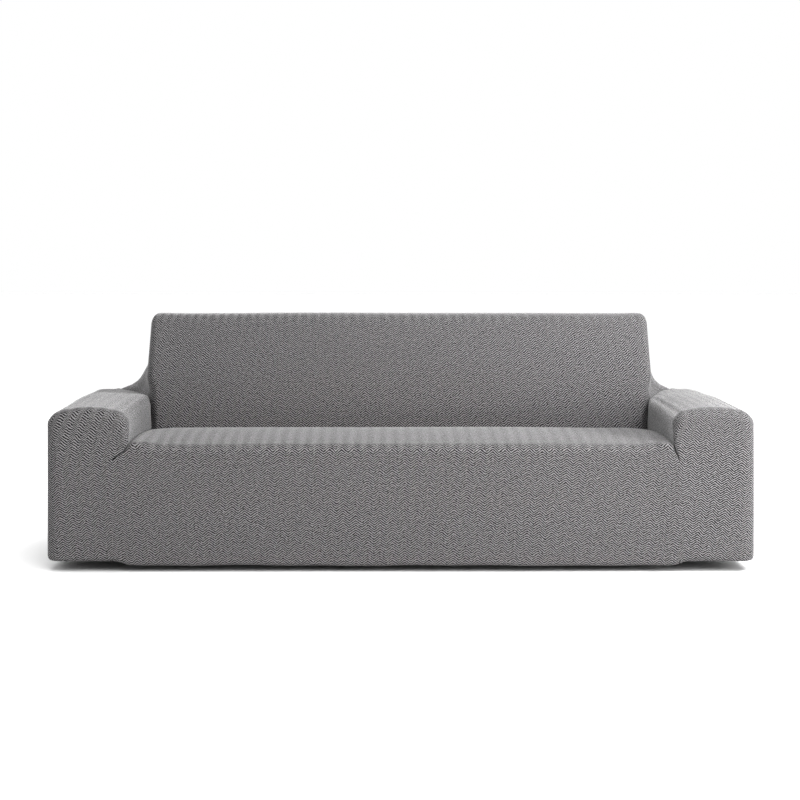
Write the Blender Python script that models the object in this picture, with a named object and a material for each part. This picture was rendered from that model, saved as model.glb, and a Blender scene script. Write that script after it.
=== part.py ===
"""Fitted stretch slipcover for a long sofa with low, square arms, in the shape it takes when worn.

Seven panels of one knitted cloth are sewn edge to edge: the seat with its front skirt, two arm
pieces, the inside back, a gusset at each end of the back, and the outside back.  Every panel is a
thin shell, hollow behind and open at the bottom, where the sofa goes in.

Each panel is a part of a block with rounded edges.  A point is first taken on the plain block,
then rounded, then moved by the block's own shape: lean, crown, crease, dart and hem.  The inner
skin lies one cloth thickness behind the outer one.  Metres, +Z up, the front faces -Y, and the
origin is on the underside of the back's top, where the worn cover hangs on the sofa.
"""

import math

import bpy
import numpy as np

# Cloth
CLOTH = 0.0025              # thickness
SEAM = 0.0003               # gap between two panels along a seam
TUCK = 0.022                # how far a panel's edge goes down into a crease

# Over-all sizes, counted from the floor and from the front of the arms
HALF_WIDTH = 1.162
DEPTH = 0.860
ARM_TOP = 0.537
ARM_INSIDE = 0.893          # half the clear width between the arms
SEAT_TOP = 0.435
SEAT_DEPTH = 0.500
BACK_TOP = 0.819
BACK_HALF = 0.909           # half the back's width above the arms
BACK_LEAN = 0.287           # how far the back's face goes back for each metre up
FACE_FOOT = 0.415           # height from which it does
TIGHT_EDGE = 0.5            # share of its radii that the arm's upright inner edge keeps
HEM_ARM = 0.034             # height of the hem under the arms and behind
HEM_SKIRT = 0.020           # height of the hem of the front skirt

# Edge radii: a block edge may be rounder one way than the other
ARM_INNER = 0.034
ARM_OUTER = 0.044
ARM_FRONT = 0.036
ARM_UPPER = 0.038
CREASE_EDGE = 0.008
CREASE_REAR = 0.012         # rear edges are tighter where the slanting crease runs out
REAR_EDGE = 0.050
SEAT_SIDE = 0.030
SEAT_FRONT = 0.036
SEAT_REAR = 0.022
SEAT_CORNER = 0.010         # the seat's rear corners fill the corner of the crease
BACK_SIDE = 0.027
BACK_FRONT = 0.050
BACK_UPPER = 0.038

# Shape of the worn cloth
SEAT_CROWN = 0.010          # the seat is higher at half its depth
SEAT_FALL = 0.020           # the seat falls towards the back
SIDE_FALL = 0.012           # the seat's top is lower along its sides
SIDE_WIDTH = 0.120          # width over which it comes down to them
FRONT_FALL = 0.024          # and lower along its front
FRONT_WIDTH = 0.360         # width over which it comes down to that
FALL_HEIGHT = 0.060         # height over which that dies out below the top
BACK_CROWN = 0.008          # the back's face stands proud in its middle
TOP_FALL = 0.010            # the back's top falls towards the rear
BACK_BOW = 0.004            # the back's face bulges at half its height
FRONT_BOW = 0.005           # the fronts of the arms and the skirt bulge at half the arm's height
REAR_DROP = 0.011           # the arm's top is lower behind
HEM_HEIGHT = 0.016          # height over which the elastic pulls the hem in
HEM_PULL = 0.013            # how far it pulls the hem in

# The two sides are not alike: fall of the arm's top from its middle to its edges, at the front
# and behind, and how far the slanting crease on the arm goes out for each metre back
SIDES = {
    -1: {"fall_front": 0.023, "fall_rear": 0.001, "crease_slope": 0.436},
    +1: {"fall_front": 0.022, "fall_rear": 0.013, "crease_slope": 0.366},
}

# The gusset is pulled out to the arm's rear corner, and creases the arm's top along a slanting line
WING_START = 0.520          # depth at which the slanting crease begins
WING_SOFTNESS = 0.012       # how softly the straight crease begins
WING_RISE = (0.480, 0.530)  # depths between which its reach comes in
WING_HEIGHT = 0.270         # height over which the wing dies out above the arm
WING_HOLLOW = 3.7           # how hollow the wing's curve is
WING_FOOT = 0.530           # height of the crease on the arm
GUSSET_FOOT = 0.497         # height of the gusset's lower edge, inside the crease
CREASE_END = 0.810          # depth at which the crease runs out over the arm's rear edge
CREASE_RUN_OUT = 0.030      # depth over which it does
NOTCH_RISE = 0.022          # how far the outside back reaches up between arm and gusset
ARM_SEAM = 0.0009           # gap between the arm's rear edge and the outside back

# Two darts end the creases beside the seat: how far out each goes, its height, and how much of
# its line is a quarter of an ellipse, the rest being straight
CREVICE = 0.418             # height of the crease behind and beside the seat
DART = {
    -1: {"out": 0.050, "curve": 0.7, "end": 0.379},
    +1: {"out": 0.017, "curve": 0.2, "end": 0.372},
}
DART_DEPTH = 0.090          # depth over which a dart's reach dies out
DART_TIP = 0.004            # how far below its end the two cloths lie level

# Spans over which one shape gives way to the next, as start and stop
ABOVE_CREASE = (0.430, 0.480)       # height: the foot of the slanting crease
SKIRT_WAVES = (0.750, 0.880)        # distance from the middle: the skirt's hem stops waving
HEM_STEP = (0.880, 0.940)           # distance from the middle: the hem steps up to the arm
HEM_BLEND = 0.250                   # height up to which the cloth follows the hem's step
FRONT_FADE = 0.040                  # depth over which what belongs to the front dies out
REAR_BLEND = 0.090                  # distance over which the tight rear edge opens
CREASE_NARROWS = (0.500, 0.560)     # depth: the arm's inner edge tightens into the crease
CREASE_DIPS = (0.520, 0.556)        # depth: the arm's inner side ends in the crease
DART_STRIP = (0.040, 0.080)         # distance from the arm's inner side: cloth around the seam
INNER_HALF = 0.050                  # distance from the arm's inner side: where the dip begins
CROWN_HEIGHT = 0.130                # height over which the arm's fall comes in
EDGE_OPENS = (0.430, 0.510)         # height: the arm's tight inner edge opens to its upper corner
REAR_KEEPS = (0.400, 0.500)         # depth: half the fall along the seat's sides is lost
REAR_DROPS = (0.400, 0.800)         # depth: the arm's top comes down behind
OPEN_FACE = 0.060                   # distance from a crease at which the cloth is free to wave
SEAT_CORNER_DEPTH = (0.400, 0.480)  # depth: the seat's rear corner
SEAT_CORNER_SIDE = (0.100, 0.030)   # distance from the seat's side: the seat's rear corner
SEAT_STRIP = (0.100, 0.050)         # distance from the seat's side: cloth around the seam
SEAT_DRAWN = 0.160                  # width of the seat that is drawn out to the dart
SEAT_FREE = (0.080, 0.060)          # distance from side and back at which the seat may wave
TOP_FALLS = 0.600                   # height from which the back's top begins to fall
ABOVE_ARM = (0.535, 0.600)          # height: the back widens above the arms
GUSSET_SPAN = (0.900, 0.960)        # share of the back's half: where the flare comes in
BACK_FREE = (0.860, 0.960)          # share of the back's half: where the waves end
BACK_FOOT = 0.080                   # height over the crease at which the back may wave
BACK_REAR = (0.100, 0.040)          # distance from the rear: where the back's waves end
REAR_SPAN = (0.700, 0.790)          # depth: the gusset's edge tightens beside the arm

# Waves of the taut cloth, and of the skirt's hem: height, waves per radian along each axis, shift
CLOTH_WAVES = [
    {"height": 0.00110, "x": 4.1, "y": 0.0, "z": 1.7, "shift": 0.6},
    {"height": 0.00077, "x": 7.3, "y": 3.0, "z": -5.0, "shift": 0.0},
]
HEM_WAVES = [
    {"height": 0.0012, "x": 9.0, "shift": 0.0},
    {"height": 0.0008, "x": 23.0, "shift": 1.0},
]

ROUND_STEPS = 2             # faces over half an edge's rounding
OUTSIDE_COLUMNS = 12        # columns of the outside back between the gussets
OUTSIDE_ROWS = 5            # rows of the outside back between its hem and the arms

# A face of a block: the axis it is square to, its end (0 low, 1 high), and its own two axes
FACES = {
    "inner": (0, 0, 1, 2),
    "outer": (0, 1, 1, 2),
    "front": (1, 0, 0, 2),
    "rear": (1, 1, 0, 2),
    "top": (2, 1, 0, 1),
}
FAR_BELOW = -1.0            # a block goes on below its hem, so that no edge is rounded there
NUDGE = 1.0e-5              # step for measuring a surface's slope

GREY_YARN = (0.205, 0.205, 0.200, 1.0)


# ---------------------------------------------------------------- small formulas

def smooth(start, stop, value):
    """Rise from 0 at start to 1 at stop, level at both ends: 3t^2 - 2t^3."""
    t = np.clip((value - start) / (stop - start), 0.0, 1.0)
    return t * t * (3.0 - 2.0 * t)


def mix(a, b, share):
    """Straight blend from a to b."""
    return a + (b - a) * share


def rounding(radius, from_edge):
    """Distances from a block edge that cut its rounding into equal angles."""
    angles = [math.pi / 4 * step / ROUND_STEPS for step in range(ROUND_STEPS)]
    steps = [radius * (1.0 - math.tan(angle)) for angle in reversed(angles)]
    return [0.0] + steps if from_edge == "low" else [-step for step in reversed(steps)] + [0.0]


def levels(low, high, low_radius, high_radius, between):
    """Grid levels from low to high: both roundings, and the given levels between them."""
    first = [low + step for step in rounding(low_radius, "low")] if low_radius else [low]
    last = [high + step for step in rounding(high_radius, "high")] if high_radius else [high]
    return first + [value for value in between if first[-1] < value < last[0]] + last


def evenly(low, high, count):
    """Count levels strictly between low and high."""
    return [mix(low, high, (step + 1) / (count + 1)) for step in range(count)]


def split(point):
    """The three coordinates of an array of points."""
    return point[..., 0], point[..., 1], point[..., 2]


def rounded(point, low, high, low_radii, high_radii):
    """Round a block's edges, and give the direction outwards.

    The nearest point of the block shrunk by its radii is the centre.  The offset from it,
    counted in radii, is brought to length one.
    """
    low_radii = np.broadcast_to(low_radii, point.shape)
    high_radii = np.broadcast_to(high_radii, point.shape)
    centre = np.clip(point, low + low_radii, high - high_radii)
    offset = point - centre
    radii = np.where(offset < 0.0, low_radii, high_radii)
    ray = offset / radii
    ray = ray / np.maximum(np.linalg.norm(ray, axis=-1, keepdims=True), 1.0e-9)
    return centre + radii * ray, ray


def stacked(*columns):
    """One array of points or radii from its three columns."""
    return np.stack(np.broadcast_arrays(*columns), axis=-1)


# ---------------------------------------------------------------- the worn shape

def wing_reach(depth, side):
    """How far the slanting crease has gone out at a depth: a straight line with a soft start."""
    slope = np.where(side < 0, SIDES[-1]["crease_slope"], SIDES[1]["crease_slope"])
    beyond = depth - WING_START
    line = 0.5 * slope * (beyond + np.sqrt(beyond * beyond + WING_SOFTNESS ** 2))
    return line * smooth(*WING_RISE, depth)


def wing_share(height):
    """Share of the wing's reach left at a height: a hyperbola, 1 at its foot and 0 at its end."""
    t = np.clip((height - WING_FOOT) / WING_HEIGHT, 0.0, 1.0)
    ending = 1.0 / (1.0 + WING_HOLLOW)
    return (1.0 / (1.0 + WING_HOLLOW * t) - ending) / (1.0 - ending)


def dart_reach(height, side):
    """How far out from the arm's inner side the dart or its seam lies at a height."""
    dart = DART[side]
    t = np.clip((height - dart["end"]) / (CREVICE - dart["end"]), 0.0, 1.0)
    ellipse = 1.0 - np.sqrt(t * (2.0 - t))
    return dart["out"] * mix(1.0 - t, ellipse, dart["curve"])


def dart_depth(depth):
    """Share of the dart's reach that is left at a depth behind the front."""
    return 1.0 - smooth(0.0, DART_DEPTH, depth)


def dart_flatness(height, side):
    """0 in the crease beside the seat, 1 below the dart, where the two cloths lie level."""
    return 1.0 - smooth(DART[side]["end"] - DART_TIP, SEAT_TOP - SEAT_FRONT, height)


def seat_fall(from_side, depth):
    """How far the seat's top comes down along its sides and its front: a parabola each."""
    beside = SIDE_FALL * np.clip(1.0 - from_side / SIDE_WIDTH, 0.0, 1.0) ** 2
    in_front = FRONT_FALL * np.clip(1.0 - depth / FRONT_WIDTH, 0.0, 1.0) ** 2
    beside = beside * (1.0 - 0.5 * smooth(*REAR_KEEPS, depth))
    return beside + in_front * smooth(0.0, SIDE_WIDTH, from_side)


def above_crease(height):
    """0 beside the back's face, 1 from the foot of the slanting crease upwards."""
    return smooth(*ABOVE_CREASE, height)


def hem_height(x):
    """Height of the hem: level under the arms, a step lower and a little wavy along the skirt."""
    across = np.abs(x)
    wave = sum(w["height"] * np.sin(w["x"] * x + w["shift"]) for w in HEM_WAVES)
    low = HEM_SKIRT + wave * (1.0 - smooth(*SKIRT_WAVES, across))
    return mix(low, HEM_ARM, smooth(*HEM_STEP, across))


def hem_pull(above_hem):
    """How far the elastic has drawn the cloth in, a quarter of an ellipse over the hem."""
    t = np.clip(1.0 - above_hem / HEM_HEIGHT, 0.0, 1.0)
    return HEM_PULL * (1.0 - np.sqrt(1.0 - 0.98 * t * t))


def unevenness(x, y, z):
    """Broad soft waves of the taut cloth, a millimetre or two high, away from the creases."""
    return sum(
        w["height"] * np.sin(w["x"] * x + w["y"] * y + w["z"] * z + w["shift"]) for w in CLOTH_WAVES
    )


def bow(low, high, value):
    """A bulge between two ends: a parabola, 0 at both and 1 half way."""
    t = np.clip((value - low) / (high - low), 0.0, 1.0)
    return 4.0 * t * (1.0 - t)


def face_back(height):
    """Depth of the back's face at a height: upright inside the crease, then leaning and bowed."""
    lean = BACK_LEAN * np.maximum(height - FACE_FOOT, 0.0)
    return SEAT_DEPTH + lean - BACK_BOW * bow(CREVICE, BACK_TOP, height)


def arm_form(point, side):
    """The arm: crowned, with the dart on its front and the slanting crease behind."""
    x, y, z = split(point)
    tight = mix(TIGHT_EDGE, 1.0, smooth(*EDGE_OPENS, z))
    inner = mix(ARM_INNER, CREASE_EDGE, smooth(*CREASE_NARROWS, y)) * tight
    front = ARM_FRONT * mix(tight, 1.0, smooth(*DART_STRIP, x - ARM_INSIDE))
    behind = mix(CREASE_REAR, REAR_EDGE, smooth(0.0, REAR_BLEND, x - ARM_INSIDE))
    low = np.array([ARM_INSIDE, 0.0, FAR_BELOW])
    high = np.array([HALF_WIDTH, DEPTH, ARM_TOP])
    form, ray = rounded(
        point, low, high,
        stacked(inner, front, ARM_FRONT),
        stacked(ARM_OUTER, behind, ARM_UPPER),
    )
    near_front = 1.0 - smooth(0.0, FRONT_FADE, y)
    beside_seam = 1.0 - smooth(*DART_STRIP, x - ARM_INSIDE)
    flat = dart_flatness(z, side) * near_front * beside_seam
    form = mix(form, point, flat[..., None])
    fx, fy, fz = split(form)

    middle = 0.5 * (ARM_INSIDE + HALF_WIDTH)
    off_middle = (fx - middle) / (HALF_WIDTH - middle)
    fall = mix(SIDES[side]["fall_front"], SIDES[side]["fall_rear"], smooth(0.0, DEPTH, fy))
    fall = fall * np.minimum(off_middle ** 2, 1.0) + REAR_DROP * smooth(*REAR_DROPS, fy)
    fz = fz - fall * smooth(ARM_TOP - CROWN_HEIGHT, ARM_TOP, fz)

    shrunk = smooth(*CREASE_DIPS, fy) * (1.0 - smooth(CREASE_END - CREASE_RUN_OUT, CREASE_END, fy))
    kept = mix(1.0, TUCK / (ARM_TOP - CREVICE + TUCK), shrunk)
    inner_half = 1.0 - smooth(ARM_INSIDE + INNER_HALF, middle, x)
    ridge = ARM_TOP - fall
    fz = np.where(fz < ridge, ridge - (ridge - fz) * mix(1.0, kept, inner_half), fz)

    outwards = wing_reach(fy, side) * above_crease(fz) + dart_reach(z, side) * dart_depth(y)
    rim = HALF_WIDTH - ARM_OUTER
    fx = fx + outwards * np.clip((rim - x) / (rim - ARM_INSIDE), 0.0, 1.0)

    hem_shift = (hem_height(fx) - HEM_ARM) * near_front
    fz = fz + hem_shift * (1.0 - smooth(HEM_ARM, HEM_BLEND, z))
    pull = hem_pull(z - HEM_ARM)
    bulge = unevenness(side * fx, fy, fz) * smooth(0.0, OPEN_FACE, x - ARM_INSIDE)
    fx = fx + ray[..., 0] * (bulge - pull)
    fy = fy + ray[..., 1] * (bulge - pull) - FRONT_BOW * bow(0.0, ARM_TOP, fz) * near_front
    return stacked(side * fx, fy, fz)


def seat_form(point):
    """The seat and its front skirt: crowned, falling to the back, ending at the two darts."""
    x, y, z = split(point)
    side = np.where(x < 0.0, -1, 1)
    across = np.abs(x)
    half = ARM_INSIDE - SEAM
    low = np.array([-half, 0.0, FAR_BELOW])
    high = np.array([half, SEAT_DEPTH - SEAM, SEAT_TOP])
    from_side = half - across
    corner = smooth(*SEAT_CORNER_DEPTH, y) * smooth(*SEAT_CORNER_SIDE, from_side)
    side_radius = mix(SEAT_SIDE, SEAT_CORNER, corner)
    upper_radius = mix(SEAT_FRONT, SEAT_CORNER, corner)
    rear_radius = mix(SEAT_REAR, SEAT_CORNER, corner)
    form, ray = rounded(
        point, low, high,
        stacked(side_radius, SEAT_FRONT, SEAT_FRONT),
        stacked(side_radius, rear_radius, upper_radius),
    )
    near_front = 1.0 - smooth(0.0, FRONT_FADE, y)
    beside_seam = smooth(*SEAT_STRIP, from_side)
    flatness = np.where(side < 0, dart_flatness(z, -1), dart_flatness(z, 1))
    flat = flatness * near_front * beside_seam
    form = mix(form, point, flat[..., None])
    fx, fy, fz = split(form)

    t = np.clip(fy / SEAT_DEPTH, 0.0, 1.0)
    crown = SEAT_CROWN * 4.0 * t * (1.0 - t) - SEAT_FALL * t * t
    raised = crown * smooth(SEAT_TOP - SEAT_FRONT, SEAT_TOP, fz)
    fz = fz + raised - seat_fall(from_side, y) * smooth(SEAT_TOP - FALL_HEIGHT, SEAT_TOP, fz)

    reach = np.where(side < 0, dart_reach(fz, -1), dart_reach(fz, 1))
    drawn = smooth(SEAT_DRAWN, 0.0, from_side)
    fx = fx + side * reach * drawn * dart_depth(y)

    fz = fz + (hem_height(fx) - HEM_SKIRT) * (1.0 - smooth(HEM_SKIRT, HEM_BLEND, z))
    pull = hem_pull(z - HEM_SKIRT) * near_front
    free = smooth(0.0, SEAT_FREE[0], from_side) * smooth(0.0, SEAT_FREE[1], SEAT_DEPTH - y)
    bulge = unevenness(fx, fy, fz) * free
    front = FRONT_BOW * bow(0.0, ARM_TOP, fz) * near_front
    fy = fy + ray[..., 1] * (bulge - pull) - front
    fz = fz + ray[..., 2] * bulge
    return stacked(fx, fy, fz)


def back_form(point):
    """The back: leaning face, softly falling top, and ends that flare out to the arms."""
    x, y, z = split(point)
    low = np.array([-BACK_HALF, SEAT_DEPTH, FAR_BELOW])
    high = np.array([BACK_HALF, DEPTH, BACK_TOP])
    above_foot = smooth(0.0, REAR_BLEND, z - WING_FOOT)
    behind = mix(CREASE_REAR, REAR_EDGE, above_foot)
    end_radius = mix(BACK_SIDE, CREASE_EDGE, (1.0 - above_foot) * smooth(*REAR_SPAN, y))
    form, ray = rounded(
        point, low, high,
        stacked(end_radius, BACK_FRONT, BACK_UPPER),
        stacked(end_radius, behind, BACK_UPPER),
    )
    fx, fy, fz = split(form)
    across = np.abs(fx) / BACK_HALF

    over = np.clip((fy - SEAT_DEPTH) / (DEPTH - SEAT_DEPTH), 0.0, 1.0)
    fz = fz - TOP_FALL * over * over * smooth(TOP_FALLS, BACK_TOP, fz)
    fy = DEPTH - (DEPTH - fy) * (DEPTH - face_back(fz)) / (DEPTH - SEAT_DEPTH)

    narrow = (ARM_INSIDE - SEAM) / BACK_HALF
    fx = fx * mix(narrow, 1.0, smooth(*ABOVE_ARM, fz))
    flare = wing_reach(fy, x) * wing_share(fz) - 2 * SEAM
    fx = fx + np.sign(fx) * flare * smooth(*GUSSET_SPAN, across) * above_crease(z)

    open_face = (1.0 - smooth(*BACK_FREE, across)) * smooth(CREVICE, CREVICE + BACK_FOOT, fz)
    crown = BACK_CROWN * (1.0 - across * across) * open_face * np.clip(-ray[..., 1], 0.0, 1.0)
    bulge = unevenness(fx, fy, fz) * open_face * (1.0 - smooth(*BACK_REAR, DEPTH - fy))
    fy = fy + ray[..., 1] * bulge - crown
    fz = fz + ray[..., 2] * bulge
    return stacked(fx, fy, fz)


# ---------------------------------------------------------------- from blocks to shells

def skin(form, point, first, second, outwards):
    """Outer points and unit normals of a block face under a form."""
    slopes = []
    for axis in (first, second):
        step = np.zeros(3)
        step[axis] = NUDGE
        slopes.append(form(point + step) - form(point - step))
    normal = np.cross(slopes[0], slopes[1])
    normal = normal / np.linalg.norm(normal, axis=-1, keepdims=True)
    facing = np.sum(normal * outwards, axis=-1, keepdims=True)
    return form(point), np.where(facing < 0.0, -normal, normal)


class Panel:
    """Collects the faces of one panel, joins equal points and closes the shell.

    side is -1 where the panel's form mirrors its block to the left.
    """

    def __init__(self, name, side=1):
        self.name = name
        self.side = side
        self.index = {}
        self.outer = []
        self.normal = []
        self.quads = []

    def corner(self, key, point, normal):
        """Index of the corner with this key; the normals of the faces that meet there add up."""
        if key not in self.index:
            self.index[key] = len(self.outer)
            self.outer.append(point)
            self.normal.append(np.zeros(3))
        index = self.index[key]
        self.normal[index] = self.normal[index] + normal
        return index

    def grid(self, points, normals, keys, keep=None):
        """Add a grid of points; keep tells for each cell whether it is cloth."""
        rows, columns = len(points), len(points[0])
        for i in range(rows - 1):
            for j in range(columns - 1):
                if keep and not keep(i, j):
                    continue
                ring = [(i, j), (i + 1, j), (i + 1, j + 1), (i, j + 1)]
                quad = [self.corner(keys[a][b], points[a][b], normals[a][b]) for a, b in ring]
                corners = [np.asarray(points[a][b]) for a, b in ring]
                turn = np.cross(corners[2] - corners[0], corners[3] - corners[1])
                if np.dot(turn, normals[i][j] + normals[i + 1][j + 1]) < 0.0:
                    quad.reverse()
                self.quads.append(quad)

    def face(self, form, name, at, firsts, seconds, keep=None):
        """Add the part of a block face that spans the given levels."""
        fixed, end, first, second = FACES[name]
        point = np.zeros((len(firsts), len(seconds), 3))
        point[..., fixed] = at
        point[..., first] = np.array(firsts)[:, None]
        point[..., second] = np.array(seconds)[None, :]
        outwards = np.zeros(3)
        outwards[fixed] = 1.0 if end else -1.0
        outwards[0] *= self.side
        points, normals = skin(form, point, first, second, outwards)
        keys = [[tuple(np.round(p, 6)) for p in row] for row in point]

        def cell(i, j):
            middle = (firsts[i] + firsts[i + 1]) / 2, (seconds[j] + seconds[j + 1]) / 2
            return keep is None or keep(*middle)

        self.grid(points, normals, keys, cell)

    def build(self, origin, material):
        """Make the closed shell: outer skin, inner skin turned round, and a rim between them."""
        outer = np.array(self.outer) - origin
        normals = np.array(self.normal)
        inner = outer - CLOTH * normals / np.linalg.norm(normals, axis=1, keepdims=True)
        count = len(outer)
        faces = [list(quad) for quad in self.quads]
        faces += [[corner + count for corner in reversed(quad)] for quad in self.quads]
        edges = {(quad[k], quad[(k + 1) % 4]) for quad in self.quads for k in range(4)}
        for a, b in sorted(edges):
            if (b, a) not in edges:
                faces.append([b, a, a + count, b + count])
        mesh = bpy.data.meshes.new(self.name)
        mesh.from_pydata(np.vstack([outer, inner]).tolist(), [], faces)
        mesh.validate()
        mesh.materials.append(material)
        mesh.shade_smooth()
        mesh.set_sharp_from_angle(angle=math.radians(50))
        body = bpy.data.objects.new(self.name, mesh)
        bpy.context.collection.objects.link(body)
        return body


# ---------------------------------------------------------------- grid levels that panels share

CREASE_BOTTOM = CREVICE - TUCK
DART_LEVELS = [0.372, 0.384]
SKIRT_LEVELS = [0.110, 0.190, 0.270, 0.330, 0.358] + DART_LEVELS
DEPTH_LEVELS = [0.066, 0.110, 0.200, 0.300, 0.400, 0.450]
SEAT_ACROSS = evenly(-0.760, 0.760, 13)
HEM_STEPS = [0.004, HEM_HEIGHT]
CREASE_LEVELS = [0.408, CREVICE, 0.450]      # heights at which the arm enters the crease
BACK_FOOT_LEVELS = [CREASE_BOTTOM, CREVICE, 0.450, 0.480]
TURNED_END = CREASE_END - 0.032     # depth at which the arm's turned-in edge ends
CREASE_DEPTHS = [0.500, 0.520, 0.532, 0.544, 0.560, 0.600, 0.660, 0.720]
GUSSET_HEIGHTS = [0.515, 0.530, 0.542, 0.560, 0.585, 0.620, 0.665, 0.720]


def hem_levels(hem):
    """Levels of the hem's pulled-in edge."""
    return [hem] + [hem + step for step in HEM_STEPS]


def turned_in(depth, height, front_radius):
    """Whether a piece's edge beside the seat is cloth: down to the dart's end at the front."""
    return height > CREASE_BOTTOM or depth < front_radius


def arm_levels():
    """Levels across the arm, which the outside back's upper edge follows."""
    return levels(ARM_INSIDE, HALF_WIDTH, ARM_INNER, ARM_OUTER, [0.960, 1.000, 1.040, 1.080])


def arm_panel(name, side):
    """Arm piece: front, top, outer side, inner side above the seat, and the turned rear edges."""
    def form(point):
        return arm_form(point, side)

    across = arm_levels()
    depths = levels(0.0, DEPTH, ARM_FRONT, REAR_EDGE, DEPTH_LEVELS + CREASE_DEPTHS + [TURNED_END])
    between = [SEAT_TOP - SEAT_FRONT] + CREASE_LEVELS
    inner_heights = DART_LEVELS + levels(CREASE_BOTTOM, ARM_TOP, 0.0, ARM_UPPER, between)
    heights = hem_levels(HEM_ARM) + SKIRT_LEVELS[:-2] + inner_heights
    panel = Panel(name, side)
    panel.face(form, "front", 0.0, across, heights)
    panel.face(form, "top", ARM_TOP, across, depths)
    panel.face(form, "outer", HALF_WIDTH, depths, heights)
    panel.face(
        form, "inner", ARM_INSIDE, depths, inner_heights,
        lambda y, z: z > ARM_TOP - ARM_UPPER or (y < TURNED_END and turned_in(y, z, ARM_FRONT)),
    )
    panel.face(
        form, "rear", DEPTH, across, heights,
        lambda x, z: x > HALF_WIDTH - ARM_OUTER or z > ARM_TOP - ARM_UPPER,
    )
    return panel


def seat_panel(name):
    """Seat and front skirt in one piece, its edges turned down into the creases."""
    half = ARM_INSIDE - SEAM
    depth = SEAT_DEPTH - SEAM
    across = levels(-half, half, SEAT_SIDE, SEAT_SIDE, [-0.810] + SEAT_ACROSS + [0.810])
    depths = levels(0.0, depth, SEAT_FRONT, SEAT_REAR, DEPTH_LEVELS)
    upper = levels(CREASE_BOTTOM, SEAT_TOP, 0.0, SEAT_FRONT, [])
    heights = hem_levels(HEM_SKIRT) + SKIRT_LEVELS + upper
    panel = Panel(name)
    panel.face(seat_form, "front", 0.0, across, heights)
    panel.face(seat_form, "top", SEAT_TOP, across, depths)
    panel.face(seat_form, "rear", depth, across, upper)
    for face, at in (("inner", -half), ("outer", half)):
        panel.face(
            seat_form, face, at, depths, DART_LEVELS + upper,
            lambda y, z: turned_in(y, z, SEAT_FRONT),
        )
    return panel


def back_levels():
    """Levels of the back's block that the inside back and the gussets share."""
    across = levels(-BACK_HALF, BACK_HALF, BACK_SIDE, BACK_SIDE, [-0.820] + SEAT_ACROSS + [0.820])
    depths = levels(SEAT_DEPTH, DEPTH, BACK_FRONT, REAR_EDGE, [0.600, 0.660, 0.730, 0.780])
    heights = levels(GUSSET_FOOT, BACK_TOP, 0.0, BACK_UPPER, GUSSET_HEIGHTS)
    return across, depths, heights


def inside_back_panel(name):
    """Inside back: face and top, its lower ends turned in beside the arms."""
    across, depths, heights = back_levels()
    heights = BACK_FOOT_LEVELS + heights
    panel = Panel(name)
    panel.face(back_form, "front", SEAT_DEPTH, across, heights)
    panel.face(back_form, "top", BACK_TOP, across, depths)
    panel.face(back_form, "rear", DEPTH, across, heights, lambda x, z: z > BACK_TOP - BACK_UPPER)
    for face, at in (("inner", -BACK_HALF), ("outer", BACK_HALF)):
        panel.face(
            back_form, face, at, depths, heights,
            lambda y, z: y < SEAT_DEPTH + BACK_FRONT and z < GUSSET_FOOT,
        )
    return panel


def gusset_panel(name, side):
    """End of the back: upright above, pulled out to the arm's rear corner below."""
    across, depths, heights = back_levels()
    rear_seam = BACK_TOP - BACK_UPPER - 2 * SEAM
    heights = [heights[0] + 2 * SEAM] + heights[1:]
    low = [height for height in heights if height < rear_seam - SEAM] + [rear_seam]
    high = [height for height in heights if height > rear_seam + SEAM][:-1] + [BACK_TOP - 2 * SEAM]
    depths = [SEAT_DEPTH + 2 * SEAM] + depths[1:-1] + [DEPTH - 2 * SEAM, DEPTH]
    strip = [value for value in across if value >= BACK_HALF - BACK_SIDE - SEAM]
    panel = Panel(name)
    face, at = ("outer", BACK_HALF) if side > 0 else ("inner", -BACK_HALF)
    panel.face(
        back_form, face, at, depths, low + high,
        lambda y, z: not (y > DEPTH - 2 * SEAM and z > rear_seam),
    )
    panel.face(back_form, "rear", DEPTH, sorted(side * value for value in strip), low)
    return panel


def outside_back_sides():
    """Seams of the outside back on each side: with the gusset, and over the arm."""
    heights = [height for height in back_levels()[2] if height <= BACK_TOP - BACK_UPPER + SEAM]
    arm_across = [x for x in arm_levels() if x < HALF_WIDTH - ARM_OUTER - SEAM]
    arm_across.append(HALF_WIDTH - ARM_OUTER - SEAM)
    gussets = {}
    arms = {}
    for side in (-1, 1):
        seam_x = side * (BACK_HALF - BACK_SIDE)
        seam = [back_form(np.array([seam_x, DEPTH, height])) for height in heights]
        gussets[side] = [(point[0] - side * SEAM, point[2] - SEAM) for point in seam]
        foot = back_form(np.array([side * BACK_HALF, DEPTH, GUSSET_FOOT]))
        shoulder = [arm_form(np.array([x, DEPTH, ARM_TOP - ARM_UPPER]), side) for x in arm_across]
        notch = mix(foot, shoulder[0], 0.5) + np.array([0.0, 0.0, NOTCH_RISE])
        arms[side] = [(point[0], point[2] - ARM_SEAM) for point in [foot, notch] + shoulder]
    return gussets, arms


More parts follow.
